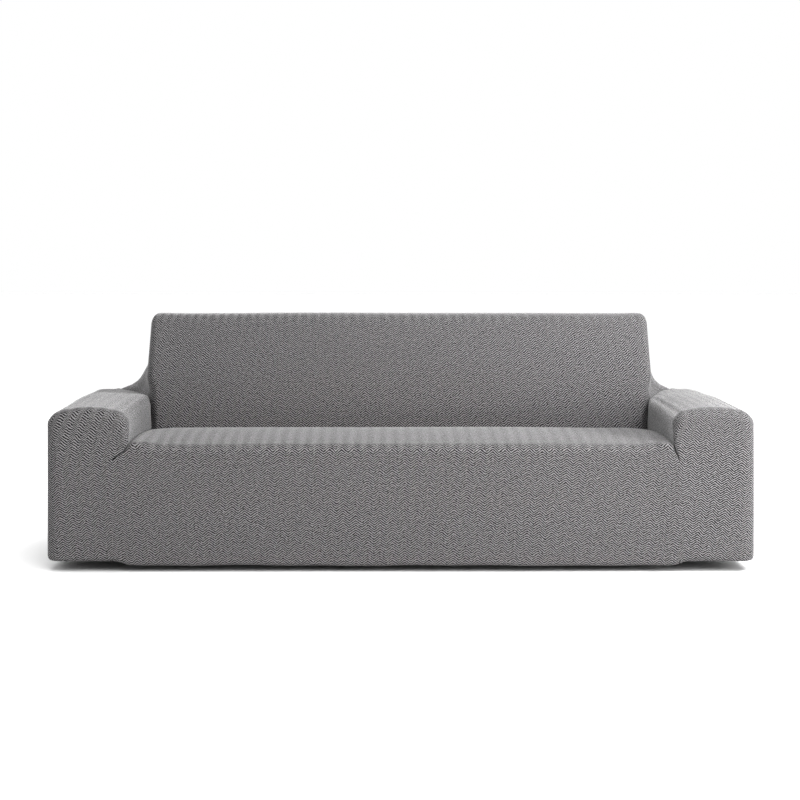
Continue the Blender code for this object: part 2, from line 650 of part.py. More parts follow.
def outside_back_panel(name):
    """Outside back: flat, from the hem up to the seams with the arms, gussets and top."""
    gussets, arms = outside_back_sides()
    shares = [step / OUTSIDE_COLUMNS for step in range(OUTSIDE_COLUMNS + 1)]
    upper = [
        [(mix(left[0], right[0], share), left[1]) for left, right in zip(gussets[-1], gussets[1])]
        for share in shares
    ]
    foot = gussets[1][0][1]
    hem = hem_levels(HEM_ARM)
    body = [(z - hem[-1]) / (foot - hem[-1]) for z in evenly(hem[-1], foot, OUTSIDE_ROWS)] + [1.0]
    lower = [
        [(x, z) for z in hem + [mix(hem[-1], top, share) for share in body]]
        for x, top in arms[-1][::-1] + [column[0] for column in upper] + arms[1]
    ]

    def lay(flat_grid):
        """Stand a flat grid up at the rear, with the hem drawn in and soft waves in its middle."""
        flat = np.array(flat_grid)
        x, z = flat[..., 0], flat[..., 1]
        inside = np.minimum(HALF_WIDTH - ARM_OUTER - np.abs(x), z - hem[-1])
        free = smooth(0.0, 2 * BACK_REAR[0], inside) * smooth(0.0, BACK_REAR[0], foot - z)
        y = DEPTH + unevenness(x, DEPTH, z) * free - hem_pull(z - HEM_ARM)
        return stacked(x, y, z)

    panel = Panel(name)
    for flat_grid in (lower, upper):
        points = lay(flat_grid)
        normals = np.zeros_like(points)
        normals[..., 1] = 1.0
        keys = [[tuple(np.round(p, 6)) for p in row] for row in points]
        panel.grid(points, normals, keys)
    return panel


# ---------------------------------------------------------------- finish and assembly

def knitted_cloth(name):
    """Matt grey knit."""
    material = bpy.data.materials.new(name)
    material.use_nodes = True
    shader = material.node_tree.nodes["Principled BSDF"]
    shader.inputs["Base Color"].default_value = GREY_YARN
    shader.inputs["Roughness"].default_value = 0.9
    shader.inputs["Metallic"].default_value = 0.0
    material.diffuse_color = GREY_YARN
    return material


def hanging_point():
    """Point on the underside of the back's top, at half its width and depth."""
    on_top = np.array([[[0.0, 0.5 * (SEAT_DEPTH + DEPTH), BACK_TOP]]])
    point, normal = skin(back_form, on_top, 0, 1, np.array([0.0, 0.0, 1.0]))
    return (point - CLOTH * normal)[0, 0]


def main():
    """Clear the scene and sew the cover together."""
    for old in list(bpy.data.objects):
        bpy.data.objects.remove(old, do_unlink=True)
    origin = hanging_point()
    panels = [
        seat_panel("seat_and_front_skirt"),
        arm_panel("arm_left", -1),
        arm_panel("arm_right", +1),
        inside_back_panel("inside_back"),
        gusset_panel("gusset_left", -1),
        gusset_panel("gusset_right", +1),
        outside_back_panel("outside_back"),
    ]
    for panel in panels:
        panel.build(origin, knitted_cloth(panel.name + "_cloth"))


main()
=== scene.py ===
# %% [markdown]
# # A stretch slipcover for a long sofa
#
# The object is one fitted cover, knitted in grey herringbone and worn by a sofa that is left out.
# Seven panels are sewn edge to edge: the seat with its front skirt, two arm pieces, the inside
# back, a gusset at each end of the back, and the outside back.  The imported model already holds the
# seven panels as plain shells.  Here each one is made again as fine cloth, from the same measures
# but for a few tighter edges and fuller bulges, and takes the plain one's place.

# %% The frame
import math

import bpy
import numpy as np
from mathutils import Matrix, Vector


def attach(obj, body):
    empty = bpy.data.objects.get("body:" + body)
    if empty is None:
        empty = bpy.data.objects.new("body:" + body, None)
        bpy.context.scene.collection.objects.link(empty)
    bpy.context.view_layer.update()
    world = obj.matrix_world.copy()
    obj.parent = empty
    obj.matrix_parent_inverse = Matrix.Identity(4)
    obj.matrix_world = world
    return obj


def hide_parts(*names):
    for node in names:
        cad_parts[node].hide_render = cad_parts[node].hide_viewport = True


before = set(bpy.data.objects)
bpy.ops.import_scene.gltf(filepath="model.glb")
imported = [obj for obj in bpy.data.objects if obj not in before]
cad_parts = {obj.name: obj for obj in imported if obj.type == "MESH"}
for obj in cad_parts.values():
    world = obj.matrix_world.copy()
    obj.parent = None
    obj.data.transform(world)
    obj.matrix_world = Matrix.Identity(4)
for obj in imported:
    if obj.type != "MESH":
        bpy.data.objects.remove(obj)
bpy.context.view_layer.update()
print("panels in the frame:", sorted(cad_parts))

# %% [markdown]
# ## Measures of the cover
#
# All measures are metres, counted from the floor and from the front of the arms, with x = 0 at half
# the width.  A tape measure would give the same numbers on the worn cover: widths and heights
# first, then how round each edge is, then the small falls and crowns of stretched cloth.

# %% Sizes and edges
CLOTH = 0.0025              # thickness of the knit
SEAM = 0.0003               # gap between two panels along a seam
TUCK = 0.022                # how far a panel's edge goes down into a crease

HALF_WIDTH, DEPTH = 1.162, 0.860
ARM_TOP, ARM_INSIDE = 0.537, 0.893
SEAT_TOP, SEAT_DEPTH = 0.435, 0.500
BACK_TOP, BACK_HALF, BACK_LEAN = 0.819, 0.909, 0.287
HEM_ARM, HEM_SKIRT = 0.034, 0.020
SEAT_HALF = ARM_INSIDE - SEAM       # half the seat's width

# radii of the edges
ARM_INNER, ARM_OUTER, ARM_FRONT, ARM_UPPER = 0.034, 0.044, 0.036, 0.038
TIGHT_EDGE = 0.35           # share of its radii that the arm's upright inner edge keeps
CREASE_EDGE, CREASE_REAR, REAR_EDGE = 0.008, 0.012, 0.050
SEAT_SIDE, SEAT_FRONT, SEAT_REAR, SEAT_CORNER = 0.012, 0.030, 0.022, 0.010
BACK_SIDE, BACK_FRONT, BACK_UPPER = 0.027, 0.050, 0.038
RIM = HALF_WIDTH - ARM_OUTER        # where the arm's outer edge starts to turn

# falls and crowns
SEAT_CROWN, SEAT_FALL = 0.010, 0.020    # bulge of the seat's top, and its fall to the rear
SIDE_FALL, SIDE_WIDTH = 0.014, 0.120    # how far the seat comes down to its sides, over what width
FRONT_FALL, FRONT_WIDTH = 0.024, 0.360  # and to its front
FALL_HEIGHT = 0.060                     # height below the top over which that dies out
BACK_CROWN, TOP_FALL = 0.008, 0.010     # bulge of the back's face, fall of its top to the rear
HEM_HEIGHT, HEM_PULL = 0.016, 0.013     # height of the hem, and how far its elastic draws it in
FRONT_BOW, BACK_BOW = 0.005, 0.012      # how far the front and the back's face bulge at mid height
REAR_DROP = 0.011           # the arm's top is lower behind
CREVICE = 0.418             # height of the crease behind and beside the seat
FACE_FOOT = 0.415           # height from which the back's face leans
FAR_BELOW = -1.0            # a block goes on below its hem, so that no edge is rounded there
print("worn: %.2f m wide, %.2f m deep, top at %.2f m" % (2 * HALF_WIDTH, DEPTH, BACK_TOP))

# %% The two sides, the slanting creases and the darts
# how far an arm's top falls to its edges in front and behind, and the crease's way out per metre
SIDES = {
    -1: {"fall_front": 0.023, "fall_rear": 0.001, "crease_slope": 0.436},
    +1: {"fall_front": 0.022, "fall_rear": 0.013, "crease_slope": 0.366},
}
WING_START, WING_SOFTNESS = 0.520, 0.012        # depth at which a crease starts, and how softly
WING_RISE = (0.480, 0.530)              # depths over which its reach sets in
WING_FOOT, WING_HEIGHT = 0.520, 0.280   # height at which a wing starts, and its own height
WING_HOLLOW = 4.2                       # how hollow its outline is
WING_TURN, TURN_DEPTHS = 0.19, (0.680, 0.800)   # how its tip turns out, and over what depths
WING_BASE = (0.430, 0.480)              # heights over which crease and wing set in
GUSSET_FOOT = 0.497                     # height of a gusset's lower edge, in the crease
CREASE_END, CREASE_RUN_OUT = 0.810, 0.030       # depth at which a crease ends, and how softly
# a dart's way out from the seat's side, its share of an ellipse, and the height of its end
DART = {
    -1: {"out": 0.050, "curve": 0.7, "end": 0.379},
    +1: {"out": 0.017, "curve": 0.2, "end": 0.372},
}
DART_DEPTH, DART_TIP = 0.090, 0.004     # how deep a dart goes, and how softly it ends
CLOTH_WAVES = [
    {"height": 0.00110, "x": 4.1, "y": 0.0, "z": 1.7, "shift": 0.6},
    {"height": 0.00077, "x": 7.3, "y": 3.0, "z": -5.0, "shift": 0.0},
]
HEM_WAVES = [
    {"height": 0.0012, "x": 9.0, "shift": 0.0},
    {"height": 0.0008, "x": 23.0, "shift": 1.0},
]
for side, dart in DART.items():
    print("the dart on side %+d goes out %.0f mm" % (side, 1000 * dart["out"]))


# %% [markdown]
# ## Small formulas
#
# Cloth has no hard changes, so nearly every rule below fades in and out.  One curve does that
# everywhere: the smooth step.  Each formula takes whole arrays, so a panel of ten thousand points
# is worked out at once.

# %% Smooth steps, blends and rounded blocks
def smooth(start, stop, value):
    """Rise from 0 at start to 1 at stop, level at both ends: 3t^2 - 2t^3."""
    t = np.clip((value - start) / (stop - start), 0.0, 1.0)
    return t * t * (3.0 - 2.0 * t)


def mix(a, b, share):
    """Straight blend from a to b."""
    return a + (b - a) * share


def stacked(*columns):
    """One array of points from its columns."""
    return np.stack(np.broadcast_arrays(*columns), axis=-1)


def rounded(point, low, high, low_radii, high_radii):
    """Round a block's edges: go from the nearest point of the shrunk block, the centre, along the
    offset counted in radii, to length one.  Gives the new points and that direction."""
    low_radii = np.broadcast_to(low_radii, point.shape)
    high_radii = np.broadcast_to(high_radii, point.shape)
    centre = np.clip(point, low + low_radii, high - high_radii)
    offset = point - centre
    radii = np.where(offset < 0.0, low_radii, high_radii)
    ray = offset / radii
    ray = ray / np.maximum(np.linalg.norm(ray, axis=-1, keepdims=True), 1.0e-9)
    return centre + radii * ray, ray


print("smooth step at a quarter, a half and three quarters:", smooth(0, 4, np.array([1, 2, 3])))


# %% [markdown]
# ## The creases, the darts and the hem
#
# Three things give this cover its look.  The gusset is pulled out to the arm's rear corner, so a
# straight crease slants over the arm's top, and a wing rises from it to the back.  A dart ends the
# crease on each side of the seat, and below it the two cloths lie level.  Elastic draws the hem in
# over its last 16 mm.

# %% The slanting crease and its wing
def wing_reach(depth, side):
    """How far the slanting crease has gone out at a depth: half of d + sqrt(d^2 + softness^2)
    times its slope, which is a straight line with a soft start, turning out further behind."""
    slope = np.where(side < 0, SIDES[-1]["crease_slope"], SIDES[1]["crease_slope"])
    beyond = depth - WING_START
    line = 0.5 * slope * (beyond + np.sqrt(beyond * beyond + WING_SOFTNESS ** 2))
    turned = 1.0 + WING_TURN * smooth(*TURN_DEPTHS, depth)
    return line * smooth(*WING_RISE, depth) * turned


def wing_share(height):
    """Share of the wing's reach left at a height: a hyperbola, 1 at its foot and 0 at its end."""
    t = np.clip((height - WING_FOOT) / WING_HEIGHT, 0.0, 1.0)
    ending = 1.0 / (1.0 + WING_HOLLOW)
    return (1.0 / (1.0 + WING_HOLLOW * t) - ending) / (1.0 - ending)


for side in SIDES:
    reach = float(wing_reach(CREASE_END, side))
    print("the crease on side %+d goes out %.0f mm" % (side, 1000 * reach))


# %% The darts
def dart_reach(height, side):
    """How far out from the arm's inner side the dart or its seam lies at a height: a blend of a
    straight line and a quarter of an ellipse."""
    dart = DART[side]
    t = np.clip((height - dart["end"]) / (CREVICE - dart["end"]), 0.0, 1.0)
    ellipse = 1.0 - np.sqrt(t * (2.0 - t))
    return dart["out"] * mix(1.0 - t, ellipse, dart["curve"])


def dart_flatness(height, side):
    """0 in the crease beside the seat, 1 below the dart, where the two cloths lie level."""
    return 1.0 - smooth(DART[side]["end"] - DART_TIP, SEAT_TOP - SEAT_FRONT, height)


half_way = 0.5 * (DART[-1]["end"] + CREVICE)
print("the left dart half way down: %.1f mm out" % (1000 * dart_reach(half_way, -1)))


# %% The hem and the unevenness of taut cloth
WAVES_END = (0.750, 0.880)      # distances from the middle over which the hem's waves die out
HEM_STEP = (0.880, 0.940)       # and over which it steps up to the arm's hem
HEM_FULLNESS = 0.98             # how nearly the drawn-in hem is a full quarter of an ellipse


def hem_height(x):
    """Height of the hem: level under the arms, a step lower and a little wavy along the skirt."""
    across = np.abs(x)
    wave = sum(w["height"] * np.sin(w["x"] * x + w["shift"]) for w in HEM_WAVES)
    low = HEM_SKIRT + wave * (1.0 - smooth(*WAVES_END, across))
    return mix(low, HEM_ARM, smooth(*HEM_STEP, across))


def hem_pull(above_hem):
    """How far the elastic has drawn the cloth in, a quarter of an ellipse over the hem."""
    t = np.clip(1.0 - above_hem / HEM_HEIGHT, 0.0, 1.0)
    return HEM_PULL * (1.0 - np.sqrt(1.0 - HEM_FULLNESS * t * t))


def unevenness(x, y, z):
    """Broad soft waves of the taut cloth, a millimetre or two high: two sines of the place."""
    return sum(
        w["height"] * np.sin(w["x"] * x + w["y"] * y + w["z"] * z + w["shift"]) for w in CLOTH_WAVES
    )


def bow(low, high, value):
    """A bulge between two ends: a parabola, 0 at both and 1 half way."""
    t = np.clip((value - low) / (high - low), 0.0, 1.0)
    return 4.0 * t * (1.0 - t)


print("the hem is drawn in by %.1f mm" % (1000 * hem_pull(np.array(0.0))))


# %% [markdown]
# ## The arm
#
# An arm could be modelled by pushing the points of a box about by hand.  A formula is surer here,
# because the neighbours have to meet it: start from a block with rounded edges, lower the top a
# little towards its edges, and let the slanting crease and the dart carry the inner edge outwards.

# %% Where the arm's rules hold
FRONT_ZONE = 0.040              # depth within which the front's own rules hold
BESIDE_SEAM = (0.040, 0.080)    # widths from the inner side over which the seam's rules end
LOOSE_HEIGHTS = (0.430, 0.510)  # heights over which the tight inner edge gets its full radii
SHARP_DEPTHS = (0.500, 0.560)   # depths over which the inner edge sharpens into the crease
CORNER_WIDTH = 0.090            # width over which the rear edge softens, out from the crease
WING_DEPTHS = (0.550, 0.750)    # depths over which the top comes to stay up beside its wing
WING_PLACES = (-0.6, 0.2)       # and places, from its middle to its edges, over which it stops
DROP_DEPTHS = (0.400, 0.800)    # depths over which the top gets lower
ARM_FALL_HEIGHT = 0.130         # height below the top over which its fall dies out
SQUEEZE_DEPTHS = (0.520, 0.556)         # depths over which the inner half goes into the crease
SQUEEZE_WIDTH = 0.050           # width of it that goes down whole
HEM_REACH = 0.250               # height up to which the hem's step and waves are felt
STILL_WIDTH = 0.060             # width beside the seam over which the soft waves set in


def near_front(depth):
    """1 at the front and 0 from the front zone's end on."""
    return 1.0 - smooth(0.0, FRONT_ZONE, depth)


def arm_drawn(point, depth, height, side):
    """How far out crease and dart draw the cloth: their reach, less and less towards the rim."""
    x, y, z = point[..., 0], point[..., 1], point[..., 2]
    dart = dart_reach(z, side) * (1.0 - smooth(0.0, DART_DEPTH, y))
    outwards = wing_reach(depth, side) * smooth(*WING_BASE, height) + dart
    return outwards * np.clip((RIM - x) / (RIM - ARM_INSIDE), 0.0, 1.0)


def arm_level(point, side):
    """1 at the front below the dart, where the arm lies level with the skirt, and 0 elsewhere."""
    beside_seam = 1.0 - smooth(*BESIDE_SEAM, point[..., 0] - ARM_INSIDE)
    return dart_flatness(point[..., 2], side) * near_front(point[..., 1]) * beside_seam


seam_foot = np.array([ARM_INSIDE, 0.0, 0.2])
print("share of the arm that lies level at its seam's foot: %.1f" % arm_level(seam_foot, -1))


# %% The arm's form
def arm_form(point, side):
    """Block point to worn point: rounded, flat beside the seam below the dart, crowned on top,
    dipped into the slanting crease, drawn out by crease and dart, and drawn in at the hem."""
    x, y, z = point[..., 0], point[..., 1], point[..., 2]
    tight = mix(TIGHT_EDGE, 1.0, smooth(*LOOSE_HEIGHTS, z))
    inner = mix(ARM_INNER, CREASE_EDGE, smooth(*SHARP_DEPTHS, y)) * tight
    front = ARM_FRONT * mix(tight, 1.0, smooth(*BESIDE_SEAM, x - ARM_INSIDE))
    behind = mix(CREASE_REAR, REAR_EDGE, smooth(0.0, CORNER_WIDTH, x - ARM_INSIDE))
    form, ray = rounded(
        point,
        np.array([ARM_INSIDE, 0.0, FAR_BELOW]), np.array([HALF_WIDTH, DEPTH, ARM_TOP]),
        stacked(inner, front, ARM_FRONT), stacked(ARM_OUTER, behind, ARM_UPPER),
    )
    form = mix(form, point, arm_level(point, side)[..., None])
    fx, fy, fz = form[..., 0], form[..., 1], form[..., 2]

    middle = 0.5 * (ARM_INSIDE + HALF_WIDTH)
    off_middle = (fx - middle) / (HALF_WIDTH - middle)
    beside_wing = smooth(*WING_DEPTHS, fy) * (1.0 - smooth(*WING_PLACES, off_middle))
    behind_fall = SIDES[side]["fall_rear"] * (1.0 - beside_wing)
    fall = mix(SIDES[side]["fall_front"], behind_fall, smooth(0.0, DEPTH, fy))
    fall = fall * np.minimum(off_middle ** 2, 1.0) + REAR_DROP * smooth(*DROP_DEPTHS, fy)
    fz = fz - fall * smooth(ARM_TOP - ARM_FALL_HEIGHT, ARM_TOP, fz)

    run_out = smooth(CREASE_END - CREASE_RUN_OUT, CREASE_END, fy)
    shrunk = smooth(*SQUEEZE_DEPTHS, fy) * (1.0 - run_out)
    kept = mix(1.0, TUCK / (ARM_TOP - CREVICE + TUCK), shrunk)
    inner_half = 1.0 - smooth(ARM_INSIDE + SQUEEZE_WIDTH, middle, x)
    ridge = ARM_TOP - fall
    fz = np.where(fz < ridge, ridge - (ridge - fz) * mix(1.0, kept, inner_half), fz)

    fx = fx + arm_drawn(point, fy, fz, side)
    low = near_front(y) * (1.0 - smooth(HEM_ARM, HEM_REACH, z))
    fz = fz + (hem_height(fx) - HEM_ARM) * low
    bulge = unevenness(side * fx, fy, fz) * smooth(0.0, STILL_WIDTH, x - ARM_INSIDE)
    along_ray = bulge - hem_pull(z - HEM_ARM)
    fy = fy - FRONT_BOW * bow(0.0, ARM_TOP, fz) * near_front(y)
    return stacked(side * (fx + ray[..., 0] * along_ray), fy + ray[..., 1] * along_ray, fz)


print("left arm, middle of its top:", arm_form(np.array([1.03, 0.4, ARM_TOP]), -1).round(3))


# %% [markdown]
# ## The seat and the back
#
# The seat rolls over its front edge into the skirt, so both are one piece of cloth.  Its sides are
# drawn out into the darts.  The back leans, its top falls a little to the rear, and its ends flare
# out to the arms.  The same block gives the inside back and both gussets, so their seams meet.

# %% Where the seat's rules hold
DRAWN_WIDTH = 0.160             # width from the seat's side over which a dart draws the cloth
LEVEL_WIDTHS = (0.100, 0.050)   # widths from the side over which the skirt comes to lie level
REAR_DEPTHS = (0.400, 0.500)    # depths over which the fall to the sides halves
CORNER_DEPTHS = (0.400, 0.480)  # where the tighter rear corners begin
CORNER_WIDTHS = (0.100, 0.030)
SIDE_WIDTHS = (0.060, 0.020)    # widths over which the top's edge gets as tight as the side's
STILL_SIDE, STILL_REAR = 0.080, 0.060   # widths over which the soft waves set in


def seat_drawn(point, height):
    """How far the darts draw the seat's cloth sideways, less and less away from its side."""
    side = np.where(point[..., 0] < 0.0, -1, 1)
    reach = np.where(side < 0, dart_reach(height, -1), dart_reach(height, 1))
    from_side = SEAT_HALF - np.abs(point[..., 0])
    fading = smooth(DRAWN_WIDTH, 0.0, from_side) * (1.0 - smooth(0.0, DART_DEPTH, point[..., 1]))
    return side * reach * fading


def seat_level(point):
    """1 at the front below the darts, where the skirt lies level with the arms, and 0 elsewhere."""
    x, y, z = point[..., 0], point[..., 1], point[..., 2]
    flatness = np.where(x < 0.0, dart_flatness(z, -1), dart_flatness(z, 1))
    return flatness * near_front(y) * smooth(*LEVEL_WIDTHS, SEAT_HALF - np.abs(x))


def seat_fall(from_side, depth):
    """How far the seat's top comes down along its sides and its front: a parabola each."""
    beside = SIDE_FALL * np.clip(1.0 - from_side / SIDE_WIDTH, 0.0, 1.0) ** 2
    in_front = FRONT_FALL * np.clip(1.0 - depth / FRONT_WIDTH, 0.0, 1.0) ** 2
    beside = beside * (1.0 - 0.5 * smooth(*REAR_DEPTHS, depth))
    return beside + in_front * smooth(0.0, SIDE_WIDTH, from_side)


print("the seat's top falls %.0f mm to its front" % (1000 * seat_fall(0.5 * HALF_WIDTH, 0.0)))


# %% The seat's form
def seat_form(point):
    """Block point to worn point: rounded, tighter at the rear corners, drawn out to the darts,
    crowned and falling to the back, and drawn in at the hem."""
    x, y, z = point[..., 0], point[..., 1], point[..., 2]
    from_side = SEAT_HALF - np.abs(x)
    corner = smooth(*CORNER_DEPTHS, y) * smooth(*CORNER_WIDTHS, from_side)
    at_side = mix(SEAT_SIDE, SEAT_CORNER, corner)
    upper = mix(SEAT_FRONT, SEAT_SIDE, smooth(*SIDE_WIDTHS, from_side))
    form, ray = rounded(
        point,
        np.array([-SEAT_HALF, 0.0, FAR_BELOW]), np.array([SEAT_HALF, SEAT_DEPTH - SEAM, SEAT_TOP]),
        stacked(at_side, SEAT_FRONT, SEAT_FRONT),
        stacked(at_side, mix(SEAT_REAR, SEAT_CORNER, corner), upper),
    )
    form = mix(form, point, seat_level(point)[..., None])
    fx, fy, fz = form[..., 0], form[..., 1], form[..., 2]

    t = np.clip(fy / SEAT_DEPTH, 0.0, 1.0)
    crown = SEAT_CROWN * 4.0 * t * (1.0 - t) - SEAT_FALL * t * t
    raised = crown * smooth(SEAT_TOP - SEAT_FRONT, SEAT_TOP, fz)
    fz = fz + raised - seat_fall(from_side, y) * smooth(SEAT_TOP - FALL_HEIGHT, SEAT_TOP, fz)
    fx = fx + seat_drawn(point, fz)
    fz = fz + (hem_height(fx) - HEM_SKIRT) * (1.0 - smooth(HEM_SKIRT, HEM_REACH, z))

    free = smooth(0.0, STILL_SIDE, from_side) * smooth(0.0, STILL_REAR, SEAT_DEPTH - y)
    bulge = unevenness(fx, fy, fz) * free
    pull = hem_pull(z - HEM_SKIRT) * near_front(y)
    fy = fy - FRONT_BOW * bow(0.0, ARM_TOP, fz) * near_front(y)
    return stacked(fx, fy + ray[..., 1] * (bulge - pull), fz + ray[..., 2] * bulge)


print("seat, middle of its top:", seat_form(np.array([0.0, 0.25, SEAT_TOP])).round(3))


# %% The back's form
FOOT_HEIGHT = 0.090             # height above a wing's foot over which its edges soften
TIP_DEPTHS = (0.700, 0.790)     # depths over which a wing's tip gets its sharp edge
FALL_FOOT = 0.600               # height from which the top's fall to the rear is felt
WIDE_HEIGHTS = (0.535, 0.600)   # heights over which the back widens above the arms
FLARE_PLACES = (0.900, 0.960)   # shares of the half width over which the flare sets in
FIRM_PLACES = (0.860, 0.960)    # and over which the face's own crown and waves die out
FREE_HEIGHT = 0.080             # height above the crease over which they set in
REAR_STILL = (0.100, 0.040)     # distances from the rear over which the waves die out


def back_form(point):
    """Block point to worn point: rounded, falling at the top, leaning, widened above the arms,
    flared out along the slanting creases, and crowned in the middle of its face."""
    x, y, z = point[..., 0], point[..., 1], point[..., 2]
    above_foot = smooth(0.0, FOOT_HEIGHT, z - WING_FOOT)
    behind = mix(CREASE_REAR, REAR_EDGE, above_foot)
    ends = mix(BACK_SIDE, CREASE_EDGE, (1.0 - above_foot) * smooth(*TIP_DEPTHS, y))
    form, ray = rounded(
        point,
        np.array([-BACK_HALF, SEAT_DEPTH, FAR_BELOW]), np.array([BACK_HALF, DEPTH, BACK_TOP]),
        stacked(ends, BACK_FRONT, BACK_UPPER), stacked(ends, behind, BACK_UPPER),
    )
    fx, fy, fz = form[..., 0], form[..., 1], form[..., 2]
    across = np.abs(fx) / BACK_HALF

    over = np.clip((fy - SEAT_DEPTH) / (DEPTH - SEAT_DEPTH), 0.0, 1.0)
    fz = fz - TOP_FALL * over * over * smooth(FALL_FOOT, BACK_TOP, fz)
    face = SEAT_DEPTH + BACK_LEAN * np.maximum(fz - FACE_FOOT, 0.0)
    face = face - BACK_BOW * bow(CREVICE, BACK_TOP, fz)
    fy = DEPTH - (DEPTH - fy) * (DEPTH - face) / (DEPTH - SEAT_DEPTH)

    fx = fx * mix(SEAT_HALF / BACK_HALF, 1.0, smooth(*WIDE_HEIGHTS, fz))
    flare = wing_reach(fy, x) * wing_share(fz) - 2 * SEAM
    fx = fx + np.sign(fx) * flare * smooth(*FLARE_PLACES, across) * smooth(*WING_BASE, z)

    free = (1.0 - smooth(*FIRM_PLACES, across)) * smooth(CREVICE, CREVICE + FREE_HEIGHT, fz)
    crown = BACK_CROWN * (1.0 - across * across) * free * np.clip(-ray[..., 1], 0.0, 1.0)
    bulge = unevenness(fx, fy, fz) * free * (1.0 - smooth(*REAR_STILL, DEPTH - fy))
    return stacked(fx, fy + ray[..., 1] * bulge - crown, fz + ray[..., 2] * bulge)


print("back, middle of its top:", back_form(np.array([0.0, 0.68, BACK_TOP])).round(3))


# %% The frame's origin
def hanging_point():
    """Point under the back's top at half its width and depth: one thickness down the normal,
    which is the cross product of two small steps along the skin."""
    top = np.array([0.0, 0.5 * (SEAT_DEPTH + DEPTH), BACK_TOP])
    step = 1.0e-5 * np.eye(3)
    along = back_form(top + step[:2]) - back_form(top - step[:2])
    normal = np.cross(along[0], along[1])
    return back_form(top) - CLOTH * normal / np.linalg.norm(normal)


ORIGIN = hanging_point()
print("the frame's origin: %.3f m behind the front, %.3f m up" % tuple(ORIGIN[1:]))


# %% [markdown]
# ## The way the knit runs
#
# The herringbone is knitted into flat cloth, so it has to follow the cloth round every edge.  Each
# panel gets a flat map: where a point lay, in metres, when the cloth lay on a table.  Over a
# rounded edge the map counts the length of the arc.  A square projection from the front would be
# quicker, but the columns would smear on tops and sides.

# %% Flat lengths over rounded edges
def unrolled(value, low, high, low_radius, high_radius):
    """Length along a rounded block: plain between the roundings, radius times angle in them."""
    centre = np.clip(value, low + low_radius, high - high_radius)
    over = value - centre
    radius = np.where(over < 0.0, low_radius, high_radius)
    return centre + radius * np.arctan(over / radius)


class Block:
    """A block's three flat lengths, and the face-by-face way in which they are joined."""

    def __init__(self, x_edges, y_edges, z_edges, way):
        self.edges = (x_edges, y_edges, z_edges)
        self.way = way

    def flat(self, face, point):
        """Flat place of block points.  Going round an upright edge adds depth to the width, and
        going over a top edge adds depth or drop to the height."""
        x, y, z = (unrolled(point[..., axis], *self.edges[axis]) for axis in range(3))
        (x0, x1), (y0, y1), (_, z1) = (
            (unrolled(np.array(e[0]), *e), unrolled(np.array(e[1]), *e)) for e in self.edges
        )
        over_top = z1 + (y - y0)
        if face == "front":
            return stacked(x, z)
        if face == "top":
            return stacked(x, over_top)
        if face == "rear":
            round_end = stacked(x1 + (y1 - y0) + (x1 - x), z)
            return stacked(x, z1 + (y1 - y0) + (z1 - z)) if self.way == "over" else round_end
        if self.way == "round" and face == "outer":
            return stacked(x1 + (y - y0), z)
        if self.way == "round_both":
            return stacked(x1 + (y - y0), z) if face == "outer" else stacked(x0 - (y - y0), z)
        drop = z1 - z
        return stacked(x1 + drop if face == "outer" else x0 - drop, over_top)


print("round the arm's front edge: %.1f mm of cloth" % (1000 * ARM_FRONT * math.pi / 2))

# %% [markdown]
# ## From grid to sewn panel
#
# A panel is made of faces of its block.  Each face is a grid of two lists of lines, closer together
# over the roundings.  The points go through the panel's form all at once, points that two faces
# share are joined, and the Solidify modifier gives the skin its thickness inwards, so the outer
# side stays where the measures say.

# %% Grid lines and faces
ROUND_LINES, HEM_LINES = 6, 7   # lines over half an edge's rounding, and over the hem
STEP = 0.014                # distance between lines elsewhere
# a face's fixed axis, its own two axes, and whether the grid's turn points inwards there
FACES = {
    "inner": (0, 1, 2, True),
    "outer": (0, 1, 2, False),
    "front": (1, 0, 2, False),
    "rear": (1, 0, 2, True),
    "top": (2, 0, 1, False),
}


def lines(low, high, low_radius, high_radius, through=()):
    """Grid lines: equal angles over both roundings, even steps between, moved onto through."""
    near = 1.0 - np.tan(np.linspace(0.0, math.pi / 4, ROUND_LINES + 1))
    first, last = low + low_radius, high - high_radius
    middle = np.linspace(first, last, max(2, round((last - first) / STEP)) + 1)
    for value in through:
        middle[np.argmin(np.abs(middle - value))] = value
    parts = [middle]
    if low_radius:
        parts.insert(0, low + low_radius * near[:0:-1])
    if high_radius:
        parts.append(high - high_radius * near[1:])
    return np.concatenate(parts)


def hem_lines(hem):
    """Lines over the drawn-in hem, closest together at its edge: one minus a sine."""
    return hem + HEM_HEIGHT * (1.0 - np.sin(np.linspace(math.pi / 2, 0.0, HEM_LINES)))


def patch(face, at, firsts, seconds, block, keep=None):
    """One face of a panel: its block points, its flat map, and which cells are cloth."""
    fixed, first, second, turned = FACES[face]
    point = np.empty((len(firsts), len(seconds), 3))
    point[..., fixed] = at
    point[..., first] = firsts[:, None]
    point[..., second] = seconds[None, :]
    a = 0.5 * (firsts[1:] + firsts[:-1])[:, None]
    b = 0.5 * (seconds[1:] + seconds[:-1])[None, :]
    kept = np.broadcast_to(True if keep is None else keep(a, b), (a.size, b.size))
    return {"point": point, "flat": block.flat(face, point), "kept": kept, "turned": turned}


print("lines across the seat:", len(lines(-SEAT_HALF, SEAT_HALF, SEAT_SIDE, SEAT_SIDE)))


